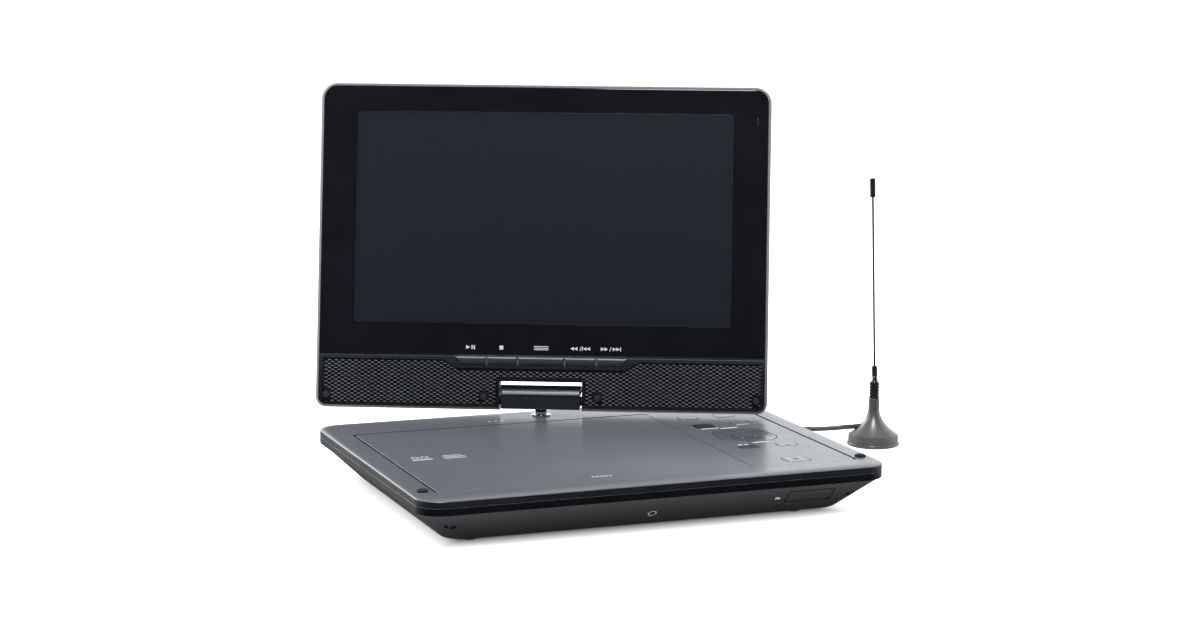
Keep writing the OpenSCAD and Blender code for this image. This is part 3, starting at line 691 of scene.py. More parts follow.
PANEL_KEYS = {                              # x, y, width, depth, corner radius
    "source_key": (70, 43, 11, 8.5, 2.5),
    "setup_key": (91, 43, 11, 8.5, 2.5),
    "display_key": (70, 21.4, 11, 11, 2.5),
    "subtitle_key": (91, 21.6, 10.4, 10.4, 2.5),
    "direction_pad": (80.5, -5.5, 30, 34, 12),
    "enter_key": (80.5, -5.5, 13, 13, 5),
    "return_key": (70.5, -32.2, 11, 8, 2.5),
    "title_key": (91.3, -33, 11, 8, 2.5),
    "mode_key": (80.5, -66, 13, 12, 3),
}
PLATE_KEYS = [key for key in PANEL_KEYS if key != "enter_key"]
PANEL_OPENING = rect(PANEL[0] - 0.1, PANEL[1] + SEAM_GAP, PANEL[2] - 0.1, PANEL[3] + 0.1, 2.6)


def key_outline(name, grow=0.0):
    x, y, w, d, r = PANEL_KEYS[name]
    return rect(x - w / 2 - grow, x + w / 2 + grow, y - d / 2 - grow, y + d / 2 + grow, r + grow)


def make_top_shell():
    rise, run = TOP_Z - EDGE_Z - 0.05, 5.8
    crown = [radians(9 * k) for k in range(11)]
    levels = [(PLATE_Z, 3.0), (EDGE_Z, 3.0), (EDGE_Z, 0.1)]
    levels += [(EDGE_Z + 0.05 + rise * sin(a), run * (1 - cos(a))) for a in crown]
    shell = loft([base_ring(z, inset, BASE_R - inset * 0.7) for z, inset in levels])
    cutters = [
        slab(rect(*BAY, 2.5), [(PLATE_Z - 1, 0), (TOP_Z + 1, 0)]),
        slab(PANEL_OPENING, [(TOP_Z - 1, 0), (TOP_Z + 1, 0)]),
        drum(0, SWIVEL_Y, 3.1, PLATE_Z - 1, TOP_Z + 1),
    ]
    cutters += [slab(key_outline(key, 0.3), [(PLATE_Z - 1, 0), (TOP_Z, 0)]) for key in PLATE_KEYS]
    cutters += [drum(-31.5 + 3.6 * i, 69.6, 0.85, PLATE_Z - 1, TOP_Z + 1, 20) for i in range(3)]
    piece("top_cover", carve(shell, *cutters), SATIN, "base", ["top_shell"], bevel=0.18)


def make_trim_band():
    def wall(levels):
        sections = [base_ring(z, inset, BASE_R - inset) for z, inset in levels]
        sections += [base_ring(z, 2.5, BASE_R - 2.5) for z in (levels[-1][0], levels[0][0])]
        return loft(sections, closed=True)

    lower = [(BAND_Z, 0.6), (BAND_Z + 0.2, 0.18), (BAND_Z + 0.5, 0.0), (GROOVE_Z - 0.2, 0.0),
             (GROOVE_Z - 0.05, 0.2)]
    upper = [(GROOVE_Z - 0.05, 0.6), (GROOVE_Z + 0.1, 0.3), (GROOVE_Z + 0.3, 0.05), (GROOVE_Z + 0.6, 0.0),
             (EDGE_Z - 0.15, 0.0), (EDGE_Z - 0.02, 0.1)]
    piece("side_band", wall(lower), BAND_BLACK, "base", ["trim_band"], "gloss_black")
    piece("side_rim", wall(upper), RIM_BLACK, "base", (), "gloss_black")
    # painted highlight: a thin light grey band in the groove, where the seam's edge catches the light
    line = [(GROOVE_Z - 0.16, 0.12), (GROOVE_Z - 0.02, 0.1)]
    piece("side_seam_highlight", wall(line), SEAM_HIGHLIGHT_GREY, "base", (), "gloss_black")


def make_bottom_shell():
    def slope(z, r):
        return base_ring(z, BASE_W / 2 - taper_half(BASE_W / 2, z), r)

    outer = [base_ring(0, 19.4, 9.0), base_ring(0.1, 18.6, 9.4), base_ring(0.4, 17.9, 9.7)]
    outer += [slope(z, 10 + z / BAND_Z) for z in (1.0, 5.0, 10.0, BAND_Z)]
    inner = [base_ring(BAND_Z, 3.2, 10.5), base_ring(2, 20, 9.5)]
    shell = loft(outer + inner)
    side = Matrix.Rotation(pi / 2, 4, "Y")
    cutters = []
    for y in SIDE_SOCKET_YS:
        cutters.append(moved(drum(0, 0, 3.5, 98, 125), Matrix.Translation((0, y, SIDE_SOCKET_Z)) @ side))
    cutters.append(block(102, 120, WHEEL_Y - 7.6, WHEEL_Y + 7.6, 7.2, 10.8))
    cutters.append(block(102, 120, SWITCH_Y - 6, SWITCH_Y + 6, 7, 11))
    rear = Matrix.Translation((JACK_X, 0, JACK_Z)) @ Matrix.Rotation(-pi / 2, 4, "X")
    cutters.append(moved(drum(0, 0, 5, 70, 100), rear))
    card = front_place(*CARD_AT)
    cutters.append(moved(slab(rect(-12.4, 12.4, -5, 5, 0.8), [(-1.3, 0), (1, 0)]), card))
    cutters.append(moved(block(-11.6, 11.6, -3.4, 3.4, -6, 0), card))
    cutters.append(moved(drum(0, 0, 1.8, -6, 2, 32), front_place(*WINDOW_AT)))
    for place in EYE_PLACES:
        cutters.append(moved(slab(rect(-2.9, 2.9, -1.7, 1.7, 1.0), [(-3.2, 0), (1, 0)]), place))
    cutters += [slab(rect(-30 + 9 * i, -26 + 9 * i, 30, 46, 1.9), [(-1, 0), (4, 0)]) for i in range(-3, 4)]
    cutters += [drum(x, y, 2.9, -1, 2.02) for x in SCREW_XS for y in SCREW_YS]
    piece("lower_shell", carve(shell, *cutters), SHELL_BLACK, "base", ["bottom_shell"], bevel=0.15)


def make_feet():
    feet = [
        moved(lathe([(0.01, 0), (3.1, 0), (3.6, 0.15), (3.9, 0.5), (4.3, 0.75), (4.4, 1.0), (4.4, 2.0),
                     (0.01, 2.0)], 40), Matrix.Translation((x, y, TABLE_Z)))
        for x in FOOT_XS for y in FOOT_YS
    ]
    piece("feet", joined(*feet), RUBBER, "base", ["rubber_feet"])
    rests = [
        moved(lathe([(0.01, -0.6), (2.7, -0.6), (2.7, 0.55), (2.55, 0.85), (2.2, 1.1), (1.5, 1.18),
                     (0.01, 1.2)], 40), Matrix.Translation((x, REST_Y, TOP_Z)))
        for x in REST_XS
    ]
    piece("rests", joined(*rests), RUBBER, "base", ["screen_rests"])


def make_strap_eyes():
    upright = Matrix.Translation((0, 0, -1.5)) @ Matrix.Rotation(pi / 2, 4, "X")
    bars = [moved(drum(0, 0, 0.8, -2.4, 2.4, 24), place @ upright) for place in EYE_PLACES]
    piece("strap_bars", joined(*bars), SHELL_BLACK, "base", (), "shell_black")


def make_panel():
    plate = slab(rect(*PANEL, 2.5), [(TOP_Z - 1, 0), (TOP_Z, 0)])
    holes = [slab(key_outline(key), [(PLATE_Z, 0), (TOP_Z + 1, 0)]) for key in PLATE_KEYS]
    piece("key_panel", carve(plate, *holes), PANEL_PAINT, "base", ["control_panel"], bevel=0.14)


def make_seam_shade():
    """Painted shade: near-black floor of the gaps round the panel, the lid's left edge and the keys, just
    below the surface, so that the gaps read dark
    """
    top = TOP_Z - 0.07
    shade_liners = [ring_wall(PANEL_OPENING, rect(*PANEL, 2.5), TOP_Z - 1, top),
              block(BAY[0], BAY[0] + SEAM_GAP, BAY[2] + 2, BAY[3] - 1, TOP_Z - 1, top)]
    shade_liners += [ring_wall(key_outline(key), key_outline(key, -KEY_GAP), PLATE_Z + 0.5, TOP_Z - 0.12)
               for key in PLATE_KEYS]
    piece("seam_shade", joined(*shade_liners), GAP_SHADE_BLACK, "base", (), "dark_parts")


make_top_shell()
make_seam_shade()
make_trim_band()
make_bottom_shell()
make_feet()
make_strap_eyes()
make_panel()

# ---------- printed marks ----------


def mark(outline, z, lift=0.05):
    """A thin printed shape: its points at z, raised by lift"""
    return loft([at_height(outline, z - 0.02), at_height(outline, z + lift)])


def bar(x, y, w, h):
    return fillet(rect(x - w / 2, x + w / 2, y - h / 2, y + h / 2, min(w, h) * 0.2), steps=2)


def arrow(x, y, size, direction):
    """Triangle that points along +x or -x"""
    tip = x + direction * size / 2
    back = x - direction * size / 2
    points = [(tip, y), (back, y + size / 2), (back, y - size / 2)]
    return points if direction > 0 else list(reversed(points))


def ring_mark(x, y, r, width, z):
    """Flat printed ring"""
    outer, inner = circle(x, y, r), circle(x, y, r - width)
    return loft([at_height(p, h) for p, h in ((outer, z - 0.02), (outer, z + 0.05), (inner, z + 0.05),
                                              (inner, z - 0.02))], closed=True)


# ---------- keys on the base ----------

KEY_TOP = TOP_Z + KEY_LIFT
KEY_LEVELS = rounded(PLATE_Z + 0.2, KEY_TOP, 0.3, 0)


def make_panel_keys():
    for name in PLATE_KEYS:
        if name == "direction_pad":
            continue
        material = {"display_key": DARK_KEY, "return_key": MID_KEY}.get(name, KEY_PAINT)
        cap = slab(key_outline(name, -KEY_GAP), KEY_LEVELS)
        piece(name.replace("_key", "_button"), cap, material, name, [name], "key_grey")


def make_pad():
    levels = KEY_LEVELS + [(KEY_TOP, 1.0), (KEY_TOP - 0.25, 2.4), (KEY_TOP - 0.3, 4.5)]
    pad = slab(key_outline("direction_pad", -KEY_GAP), levels, steps=12)
    hole = slab(key_outline("enter_key", 0.0), [(PLATE_Z - 1, 0), (TOP_Z + 2, 0)])
    piece("pad", carve(pad, hole), PAD_PAINT, "direction_pad", ["direction_pad"], "key_grey", bevel=0.12)
    x, y = PANEL_KEYS["direction_pad"][:2]
    arrows = []
    for k in range(4):
        reach = 12.6 if k % 2 else 10.8
        turn = Matrix.Translation((x, y, 0)) @ Matrix.Rotation(k * pi / 2, 4, "Z")
        arrows.append(moved(mark(arrow(reach, 0, 1.6, 1), KEY_TOP - 0.27, 0.06), turn))
    piece("pad_arrows", joined(*arrows), FAINT_INK, "direction_pad", (), "key_grey")
    cap = slab(key_outline("enter_key", -KEY_GAP), [(z + 0.1, i) for z, i in KEY_LEVELS])
    piece("enter_button", cap, PAD_PAINT, "enter_key", ["enter_key"], "key_grey")
    piece("enter_mark", ring_mark(x, y, 2.0, 0.35, KEY_TOP + 0.08), FAINT_INK, "enter_key", (), "key_grey")


def make_panel_marks():
    """Bars and a dot in place of the labels beside the keys"""
    marks = [mark(bar(x, y, w, h), TOP_Z) for x, y, w, h in (
        (70, 14.6, 9.6, 1.4), (80.4, 12.9, 9.6, 1.4), (81.4, -24.2, 9.6, 1.4),
        (68.4, -27.2, 2.6, 1.3), (71.6, -27.2, 1.9, 1.3),
    )]
    piece("panel_marks", joined(*marks), WHITE_INK, "base", (), "panel_grey")
    for name, x, y, w, h, paint in (
        ("mode", 80.5, -66, 2.8, 2.6, FAINT_INK), ("title", 91.3, -34.4, 1.6, 1.4, FAINT_INK),
        ("subtitle", 90.9, 18.4, 7.8, 1.6, GREY_INK),
    ):
        piece(f"{name}_mark", mark(bar(x, y, w, h), KEY_TOP), paint, f"{name}_key", (), "key_grey")


make_panel_keys()
make_pad()
make_panel_marks()

# ---------- disc lid ----------


def make_lid():
    corners = rect(BAY[0] + SEAM_GAP, BAY[1] - 0.15, BAY[2] + 0.3, BAY[3] - 1.2, 2.2)
    lid = slab(corners, rounded(TOP_Z - 1.6, TOP_Z, 0.35, 0.2))
    piece("lid", lid, SATIN, "lid", ["disc_lid"])
    # generic symbols: two rings over a long bar, and three bars, the rearmost one shorter
    bars = [(-92.2, -6.6, 10.4, 2.4)]
    bars += [(-75.6, -7.6 + 3.0 * k, 11.6 - 2.4 * (k == 2), 1.4) for k in range(3)]
    # open mark: a row of dashes at the front edge
    bars += [(-27.6 + 2.2 * k, -69.5, 1.3, 2.4) for k in range(5)]
    marks = [ring_mark(x, -1.8, 2.1, 0.8, TOP_Z) for x in (-94.6, -89.8)]
    marks += [mark(bar(*one), TOP_Z) for one in bars]
    piece("lid_marks", joined(*marks), GREY_INK, "lid", (), "satin_grey")


make_lid()

# ---------- sides ----------


def make_volume_wheel():
    count, r = 48, 7.0
    outline = []
    for k in range(count):
        for part, reach in ((0.0, r), (0.35, r), (0.5, r - 0.35), (0.85, r - 0.35)):
            a = 2 * pi * (k + part) / count
            outline.append((reach * cos(a), reach * sin(a)))
    wheel = loft([at_height([(x * f, y * f) for x, y in outline], z)
                  for z, f in ((7.6, 0.955), (7.85, 1.0), (10.15, 1.0), (10.4, 0.955))])
    hole = drum(0, 0, 1.5, 5, 12, 32)
    piece("wheel", carve(wheel, hole), DARK_PARTS, "volume_wheel", ["volume_wheel"],
          place=Matrix.Translation((WHEEL_X, WHEEL_Y, 0)))


def make_power_switch():
    y = SWITCH_Y
    base = block(102.6, 109.4, y - 2.6, y + 2.6, 7.4, 10.6)
    grip = block(109.2, 112.8, y - 1.6, y + 1.6, 7.8, 10.2)
    grooves = [block(112.3, 113.2, y - 1.2 + 0.75 * k, y - 0.85 + 0.75 * k, 7, 11) for k in range(4)]
    switch = joined(base, carve(grip, *grooves))
    piece("switch", switch, DARK_PARTS, "power_switch", ["power_switch"], bevel=0.12)


def make_card_door():
    corners = rect(-11.9, 12, -4.6, 4.3, (0.9, 2.2, 0.9, 0.9))
    door = joined(slab(corners, rounded(-1.1, 0, 0.25, 0.5)),
                  slab(rect(-3, 3, 3.1, 4.1, 0.4), rounded(-0.1, 0.15, 0.1, 0)))
    place = front_place(*CARD_AT)
    piece("card_cover", door, SHELL_BLACK, "card_door", ["card_door"], place=place)
    # painted shade: a near-black wall in the gap round the door
    gap = ring_wall(rect(-12.38, 12.38, -4.98, 4.98, 0.8), corners, -1.3, -0.12)
    piece("card_gap_shade", gap, GAP_SHADE_BLACK, "base", (), "dark_parts", place=place)
    icon = [mark(bar(0, 0, 3.0, 1.0), 0), mark(bar(-0.6, 1.0, 1.6, 0.5), 0)]
    piece("card_mark", joined(*icon), GREY_INK, "base", (), "shell_black", place=front_place(62.8, 9.4))


def make_window():
    place = front_place(*WINDOW_AT)
    lens = lathe([(0.01, -3), (1.7, -3), (1.7, 0.0), (1.55, 0.2), (1.2, 0.32), (0.6, 0.36), (0.01, 0.36)], 32)
    piece("receiver_window", lens, WINDOW, "base", ["ir_window"], place=place)
    piece("window_ring", ring_mark(0, 0, 2.1, 0.35, 0), GREY_INK, "base", (), "shell_black", place=place)
    dot = mark(circle(2.0, 1.5, 0.45, 16), 0)
    piece("front_dot", dot, DARK_PARTS, "base", (), "dark_parts", place=place)


make_volume_wheel()
make_power_switch()
make_card_door()
make_window()

# ---------- hinge ----------


# an outline's x becomes depth and its y height, so that it runs along the tilt axis
ACROSS = Matrix(((0, 0, 1, 0), (1, 0, 0, 0), (0, 1, 0, 0), (0, 0, 0, 1)))


def make_hinge_bar():
    corners = [(-6, -3.7, 0.7), (6, -3.7, 0.7), (6, 8, 5), (-6, 8, 5)]
    long_bar = moved(slab(corners, rounded(-BLOCK_HALF, BLOCK_HALF, 0.5), steps=10), ACROSS)
    neck = lathe([(0.01, -5.4), (2.9, -5.4), (3.05, -5.2), (3.4, -4.6), (4.3, -3.6), (0.01, -3.5)], 48)
    cap = [(-4.4, 4.9, 0.8), (4.4, 4.9, 0.8), (4.4, 8, 3.1), (-4.4, 8, 3.1)]
    cap_half = BLOCK_HALF + 0.6
    cap_bar = moved(slab(cap, rounded(-cap_half, cap_half, 0.5), steps=10), ACROSS)
    hinge = joined(long_bar, cap_bar, neck)
    piece("hinge_bar", hinge, BLOCK_BLACK, "swivel", ["hinge_block"], "gloss_black", place=HINGE_PLACE)


def make_hinge_highlight():
    """Painted highlight: a light grey stripe along the front of the bar's upper round, in place of the
    reflection of the light above
    """
    arc = [radians(15 + 2.4 * k) for k in range(9)]
    front = [(-1 - 5.06 * cos(a), 3 + 5.06 * sin(a)) for a in arc]
    behind = [(-1 - 4.7 * cos(a), 3 + 4.7 * sin(a)) for a in reversed(arc)]
    half = BLOCK_HALF - 0.6
    highlight_stripe = moved(loft([at_height(front + behind, x) for x in (-half, half)]), ACROSS)
    piece("hinge_highlight", highlight_stripe, HINGE_HIGHLIGHT_GREY, "swivel", (), "gloss_black", place=HINGE_PLACE)


def make_swivel():
    at_swivel = Matrix.Translation((0, SWIVEL_Y, TOP_Z))
    washer = lathe([(3.1, 0), (5.4, 0), (5.4, 0.4), (5.2, 0.6), (4.9, 0.7), (3.1, 0.7)], 64)
    # the two ends that would close the hole
    bmesh.ops.delete(washer, geom=[f for f in washer.faces if len(f.verts) > 4], context="FACES_ONLY")
    piece("washer", washer, CHROME, "base", ["swivel_washer"], place=at_swivel)
    shaft = lathe([(0.01, -8), (7, -8), (7, -6.1), (3, -6.1), (3, 0.95), (3.2, 1.0), (3.3, 1.15), (3.3, 2.2),
                   (3.15, 2.4), (0.01, 2.4)], 48)
    piece("shaft", shaft, CHROME, "swivel", ["swivel_shaft"], place=at_swivel)


make_hinge_bar()
make_hinge_highlight()
make_swivel()

# ---------- screen ----------

SCREEN_CORNERS = rect(-SCREEN_W / 2, SCREEN_W / 2, LOW_V, HIGH_V, (5.5, 5.5, 8.5, 8.5))
IN_W = SCREEN_W / 2 - FRONT_INSET


def notch_cutter():
    return block(-NOTCH_HALF, NOTCH_HALF, LOW_V - 1, NOTCH_V, -20, 20)


def make_screen_back():
    arc = [pi / 2 * k / 6 for k in range(7)]
    levels = [(-FACE_W + 2.7 * (1 - cos(a)), 3.0 * (1 - sin(a))) for a in arc]
    levels += [(RIM_W - 0.12, 0.0), (RIM_W, 0.12)]
    cover = slab(SCREEN_CORNERS, levels, steps=10)
    rim = slab(SCREEN_CORNERS, [(RIM_W, 0.3), (RIM_W + 0.1, 0.02), (SEAM_W - 0.3, 0.0), (SEAM_W - 0.1, 0.08),
                                (SEAM_W, 0.35)], steps=10)
    on_screen("cover_rim", carve(rim, notch_cutter()), RIM_PAINT, (), "satin_grey")
    cutters = [notch_cutter()]
    for x in (side * (55 + 6 * i) for side in (-1, 1) for i in range(6)):
        cutters.append(slab(rect(x - 1, x + 1, 12, 34, 0.95), [(-10, 0), (-4.7, 0)], steps=4))
    # shallow panel line round the back
    frame_line = carve(slab(rect(-96, 96, 46, 150, 6), [(-7, 0), (-6.1, 0)]),
                       slab(rect(-95.2, 95.2, 46.8, 149.2, 5.2), [(-8, 0), (-5, 0)]))
    cutters.append(frame_line)
    on_screen("rear_cover", carve(cover, *cutters), BACK_PAINT, ["screen_back"], "satin_grey", bevel=0.15)


def make_bezel():
    corners = rect(-IN_W, IN_W, STRIP_V, HIGH_V - FRONT_INSET, (0.3, 0.3, 7.2, 7.2))
    bezel = slab(corners, rounded(SEAM_W - 0.02, FACE_W, 0.7, 0), steps=10)
    x, v0, v1 = DISPLAY_W / 2, DISPLAY_V - DISPLAY_H / 2, DISPLAY_V + DISPLAY_H / 2
    window = slab(rect(-x, x, v0, v1, 0.6),
                  [(SEAM_W - 1, 0), (FACE_W - 0.5, 0), (FACE_W + 0.1, -0.45)], steps=3)
    on_screen("bezel", carve(bezel, window), GLOSS_BLACK, ["screen_frame"], "gloss_black")
    panel = slab(rect(-x - 4, x + 4, v0 - 4, v1 + 4, 1), rounded(SEAM_W - 4, SEAM_W - 0.05, 0.1))
    face = slab(rect(-x + 0.05, x - 0.05, v0 + 0.05, v1 - 0.05, 0.5),
                rounded(SEAM_W - 0.1, FACE_W - 0.55, 0.06))
    on_screen("lcd", joined(panel, face), DISPLAY, ["display_panel"], "display")


GRILLE_WINDOW = [
    (-115.6, -2.6), (-22.7, -2.6), (-22.7, 10.8), (22.7, 10.8), (22.7, -2.6), (115.6, -2.6),
    (115.6, 20.9), (51.5, 20.9), (44.8, 16.5), (-44.8, 16.5), (-51.5, 20.9), (-115.6, 20.9),
]
CELL_W, CELL_H = 3.5, 1.025                 # perforations: width, and half of their height
KEY_RECESS = [(KEY_XS[0] + 3, KEY_V[0] - 0.3, 0.8), (KEY_XS[5] - 3, KEY_V[0] - 0.3, 0.8),
              (KEY_XS[5] + 0.6, STRIP_V + 1, 0.3), (KEY_XS[0] - 0.6, STRIP_V + 1, 0.3)]


def make_grille():
    corners = rect(-IN_W, IN_W, LOW_V + FRONT_INSET, STRIP_V - 0.12, (4.2, 4.2, 0.3, 0.3))
    plate = slab(corners, rounded(SEAM_W, FACE_W, 0.7, 0), steps=10)
    cutters = [
        notch_cutter(),
        slab(KEY_RECESS, [(SEAM_W - 1, 0), (FACE_W + 1, 0)], steps=4),
        loft([at_height(GRILLE_WINDOW, z) for z in (SEAM_W + 0.3, FACE_W + 1)]),
    ]
    on_screen("strip", carve(plate, *cutters), GRILLE_BLACK, ["speaker_grille"], "grille_black", bevel=0.12)


def grille_cell(bm, x, y, z):
    """One diamond of the perforated sheet: a rim that falls into a hole"""
    tips = ((CELL_W / 2, 0), (0, CELL_H), (-CELL_W / 2, 0), (0, -CELL_H))
    rings = []
    for scale, drop in ((1.0, 0.0), (0.86, 0.04), (0.7, 0.4), (0.64, 0.9)):
        rings.append([bm.verts.new((x + a * scale, y + b * scale, z - drop)) for a, b in tips])
    for low, high in zip(rings, rings[1:]):
        for i in range(4):
            j = (i + 1) % 4
            bm.faces.new((low[i], low[j], high[j], high[i]))
    bm.faces.new(rings[-1])


def grille_rib(bm, x, y, z):
    """Raised dash where four cells meet; its light grey is a painted highlight"""
    w, h = 1.1, 0.34
    low = [(x - w, y, z), (x, y - h, z), (x + w, y, z), (x, y + h, z)]
    high = [(x + (a - x) * 0.7, y + (b - y) * 0.6, z + 0.07) for a, b, _ in low]
    loft([low, high], mesh=bm)


def in_grille(x, y, margin):
    """Whether a cell at x, y fits in the perforated area, with margin mm to spare"""
    if abs(x) > 116.4 - margin or y > 20.6 or (abs(x) < 22.9 + margin and y < 11.0 + margin):
        return False
    if y > 16.4 - margin and abs(x) < 45.5 + margin + 1.5 * (y - 16.4):
        return False
    if any(hypot(x - px, y - PLUG_V) < 2.0 + margin for px in PLUG_XS):
        return False
    return y > -1.6 or abs(x) < 112.5


def make_grille_sheet():
    holes, ribs = bmesh.new(), bmesh.new()
    top = FACE_W - 0.08
    for row in range(22):
        y = LOW_V + 3.4 + CELL_H * row
        for column in range(-33, 34):
            x = CELL_W * (column + (row % 2) / 2)
            if in_grille(x, y, 0.4):
                grille_cell(holes, x, y, top)
            if in_grille(x + CELL_W / 2, y, 0.9):
                grille_rib(ribs, x + CELL_W / 2, y, top)
    on_screen("perforated_sheet", holes, GRILLE_SHEET, (), "grille_black", angle=20)
    on_screen("grille_ribs", ribs, GRILLE_RIB_HIGHLIGHT, (), "grille_black", angle=20)


def make_screen_keys():
    # painted shade: a near-black plate behind the keys, seen through the gaps between them
    shade_backing = slab(KEY_RECESS, [(SEAM_W - 1.4, 0), (SEAM_W - 0.9, 0)], steps=4)
    on_screen("key_gap_shade", shade_backing, GAP_SHADE_BLACK, (), "dark_parts")
    v0, v1 = KEY_V
    levels = [(SEAM_W - 0.4, 0), (FACE_W - 0.75, 0), (FACE_W - 0.4, 0.12), (FACE_W - 0.15, 0.4),
              (FACE_W - 0.03, 0.85), (FACE_W, 1.5)]
    for i, name in enumerate(("play", "stop", "menu", "previous", "next")):
        x0, x1 = KEY_XS[i] + 0.35, KEY_XS[i + 1] - 0.35
        low_x0, low_x1 = (x0 + 3.2 if i == 0 else x0), (x1 - 3.2 if i == 4 else x1)
        corners = [(low_x0, v0, 0.7 if i == 0 else 0.25), (low_x1, v0, 0.7 if i == 4 else 0.25),
                   (x1, v1 - 0.1, 0.25), (x0, v1 - 0.1, 0.25)]
        piece(f"{name}_button", slab(corners, levels, steps=4), SCREEN_KEY, f"{name}_key", [f"{name}_key"],
              "key_grey", place=FACE_PLACE)


def make_screen_marks():
    z, v = FACE_W, STRIP_V + 4.3
    size = 2.15
    marks = [mark(arrow(-38.6, v, size, 1), z), mark(bar(-21.0, v, size, size), z)]
    marks += [mark(bar(x, v, 0.65, size), z) for x in (-36.5, -35.3)]
    marks += [mark(bar(0, v + dy, 7.6, 0.4), z) for dy in (-0.85, 0, 0.85)]
    for s, centre in ((-1, 20.2), (1, 35.9)):
        marks += [mark(arrow(centre + 0.2 * s + dx, v, size * 0.9, s), z) for dx in (-3.7, -1.8)]
        slash = ((0.1, -1.1), (0.45, -1.1), (1.1, 1.1), (0.75, 1.1))
        marks.append(mark([(centre + dx, v + dy) for dx, dy in slash], z))
        marks += [mark(arrow(centre + 1.0 + dx, v, size * 0.9, s), z) for dx in (1.8, 3.7)]
        marks.append(mark(bar(centre + (1.5 if s < 0 else 5.9), v, 0.45, size), z))
    corner = [mark(bar(112.2, 147.2 + 1.5 * k, 0.8, 1.0), z) for k in range(3)]
    on_screen("corner_mark", joined(*corner), PLUG_GREY, (), "gloss_black")
    on_screen("bezel_marks", joined(*marks), WHITE_INK, (), "gloss_black")


def make_screw_plugs():
    plugs = [
        moved(lathe([(0.01, SEAM_W + 0.2), (1.85, SEAM_W + 0.2), (1.85, FACE_W - 0.25), (1.7, FACE_W - 0.08),
                     (1.2, FACE_W - 0.02), (0.01, FACE_W)], 32), Matrix.Translation((x, PLUG_V, 0)))
        for x in PLUG_XS
    ]
    on_screen("plugs", joined(*plugs), PLUG_GREY, ["screw_plugs"], "rubber")


make_screen_back()
make_bezel()
make_grille()
make_grille_sheet()
make_screen_keys()
make_screen_marks()
make_screw_plugs()

# ---------- antenna ----------

ANTENNA_PLACE = Matrix.Translation(ANTENNA)
CONE_TOP, WHIP_LEAN = 38.1, radians(-2.2)
WHIP_PLACE = ANTENNA_PLACE @ Matrix.Translation((0, 0, CONE_TOP)) @ Matrix.Rotation(WHIP_LEAN, 4, "Y")


def make_antenna_foot():
    foot = lathe([(0.01, 0.0), (13.6, 0.0), (14.0, 0.15), (14.4, 0.6), (14.4, 1.3), (14.15, 1.75),
                  (13.9, 2.0), (0.01, 2.0)], 96)
    on_antenna("magnet_foot", foot, ANTENNA_RING, ["antenna_foot"])


def make_bell():
    steps = 20
    flare = [(3.1 + 9.6 * (1 - k / steps) ** 2.2, 6.2 + 14.8 * k / steps) for k in range(steps + 1)]
    band = lathe([(0.01, 1.9), (13.6, 1.9), (13.75, 2.1), (13.7, 5.5), (13.55, 5.85), (13.2, 6.0),
                  (0.01, 6.0)], 96)
    on_antenna("bell_band", band, ANTENNA_RING, ())
    bell = lathe([(0.01, 5.9), (12.7, 5.9), (12.7, 6.1)] + flare +
                 [(3.1, 25.6), (2.9, 26.0), (0.01, 26.0)], 96)
    on_antenna("bell", bell, ANTENNA_PAINT, ["antenna_bell"])


def make_collar():
    ribs, low, high = 5, 26.0, 34.9
    pitch = (high - low) / ribs
    collar = [(0.01, low)]
    for i in range(ribs):
        z = low + i * pitch
        collar += [(2.38, z), (2.4, z + 0.12 * pitch), (2.7, z + 0.28 * pitch), (2.75, z + 0.5 * pitch),
                   (2.7, z + 0.72 * pitch), (2.4, z + 0.88 * pitch)]
    collar += [(2.38, high), (0.01, high)]
    on_antenna("ribs", lathe(collar, 48), WHIP_BLACK, ["antenna_collar"], "whip_black")
    cone = lathe([(0.01, 34.85), (2.3, 34.9), (2.4, 35.0), (2.4, 35.6), (2.3, 35.75),
                  (1.65, CONE_TOP - 0.1), (1.55, CONE_TOP), (0.01, CONE_TOP)], 48)
    on_antenna("cone", cone, CHROME, ["antenna_cone"], "chrome")


def make_whip():
    whip = lathe([(0.01, -0.2), (1.5, -0.2), (1.5, 5.3), (1.35, 5.75), (0.7, 5.9), (0.55, 6.1), (0.55, 99.2),
                  (0.01, 99.2)], 32)
    on_antenna("rod", whip, WHIP_BLACK, ["antenna_whip"], "whip_black", WHIP_PLACE)
    tip = lathe([(0.01, 99.2), (1.2, 99.2), (1.5, 99.5), (1.5, 108.9), (1.35, 109.3), (1.0, 109.5),
                 (0.01, 109.5)], 32)
    on_antenna("rod_tip", tip, WHIP_BLACK, ["antenna_tip"], "whip_black", WHIP_PLACE)


def make_relief():
    """Ribbed strain relief, from the bell to where the bare lead starts"""
    start, end = ANTENNA + Vector((-5, 2.6, 9.2)), Vector(LEAD_A[0])
    run = end - start
    turn = Vector((0, 0, 1)).rotation_difference(run).to_matrix().to_4x4()
    length = run.length
    profile = [(0.01, 0), (2.6, 0)]
    ribs = 4
    for i in range(ribs):
        z = length * (0.35 + 0.6 * i / ribs)
        r = 2.6 - z / length
        profile += [(r, z), (r - 0.28, z + 0.2), (r - 0.3, z + 0.55), (r - 0.15, z + 0.75)]
    profile += [(1.6, length - 0.15), (1.45, length), (0.01, length)]
    return on_antenna("strain_relief", lathe(profile, 32), LEAD_BLACK, ["cord_outlet"], "lead_black",
                      Matrix.Translation(start) @ turn)


make_antenna_foot()
make_bell()
make_collar()
make_whip()
relief = make_relief()

# ---------- plug and tie ----------


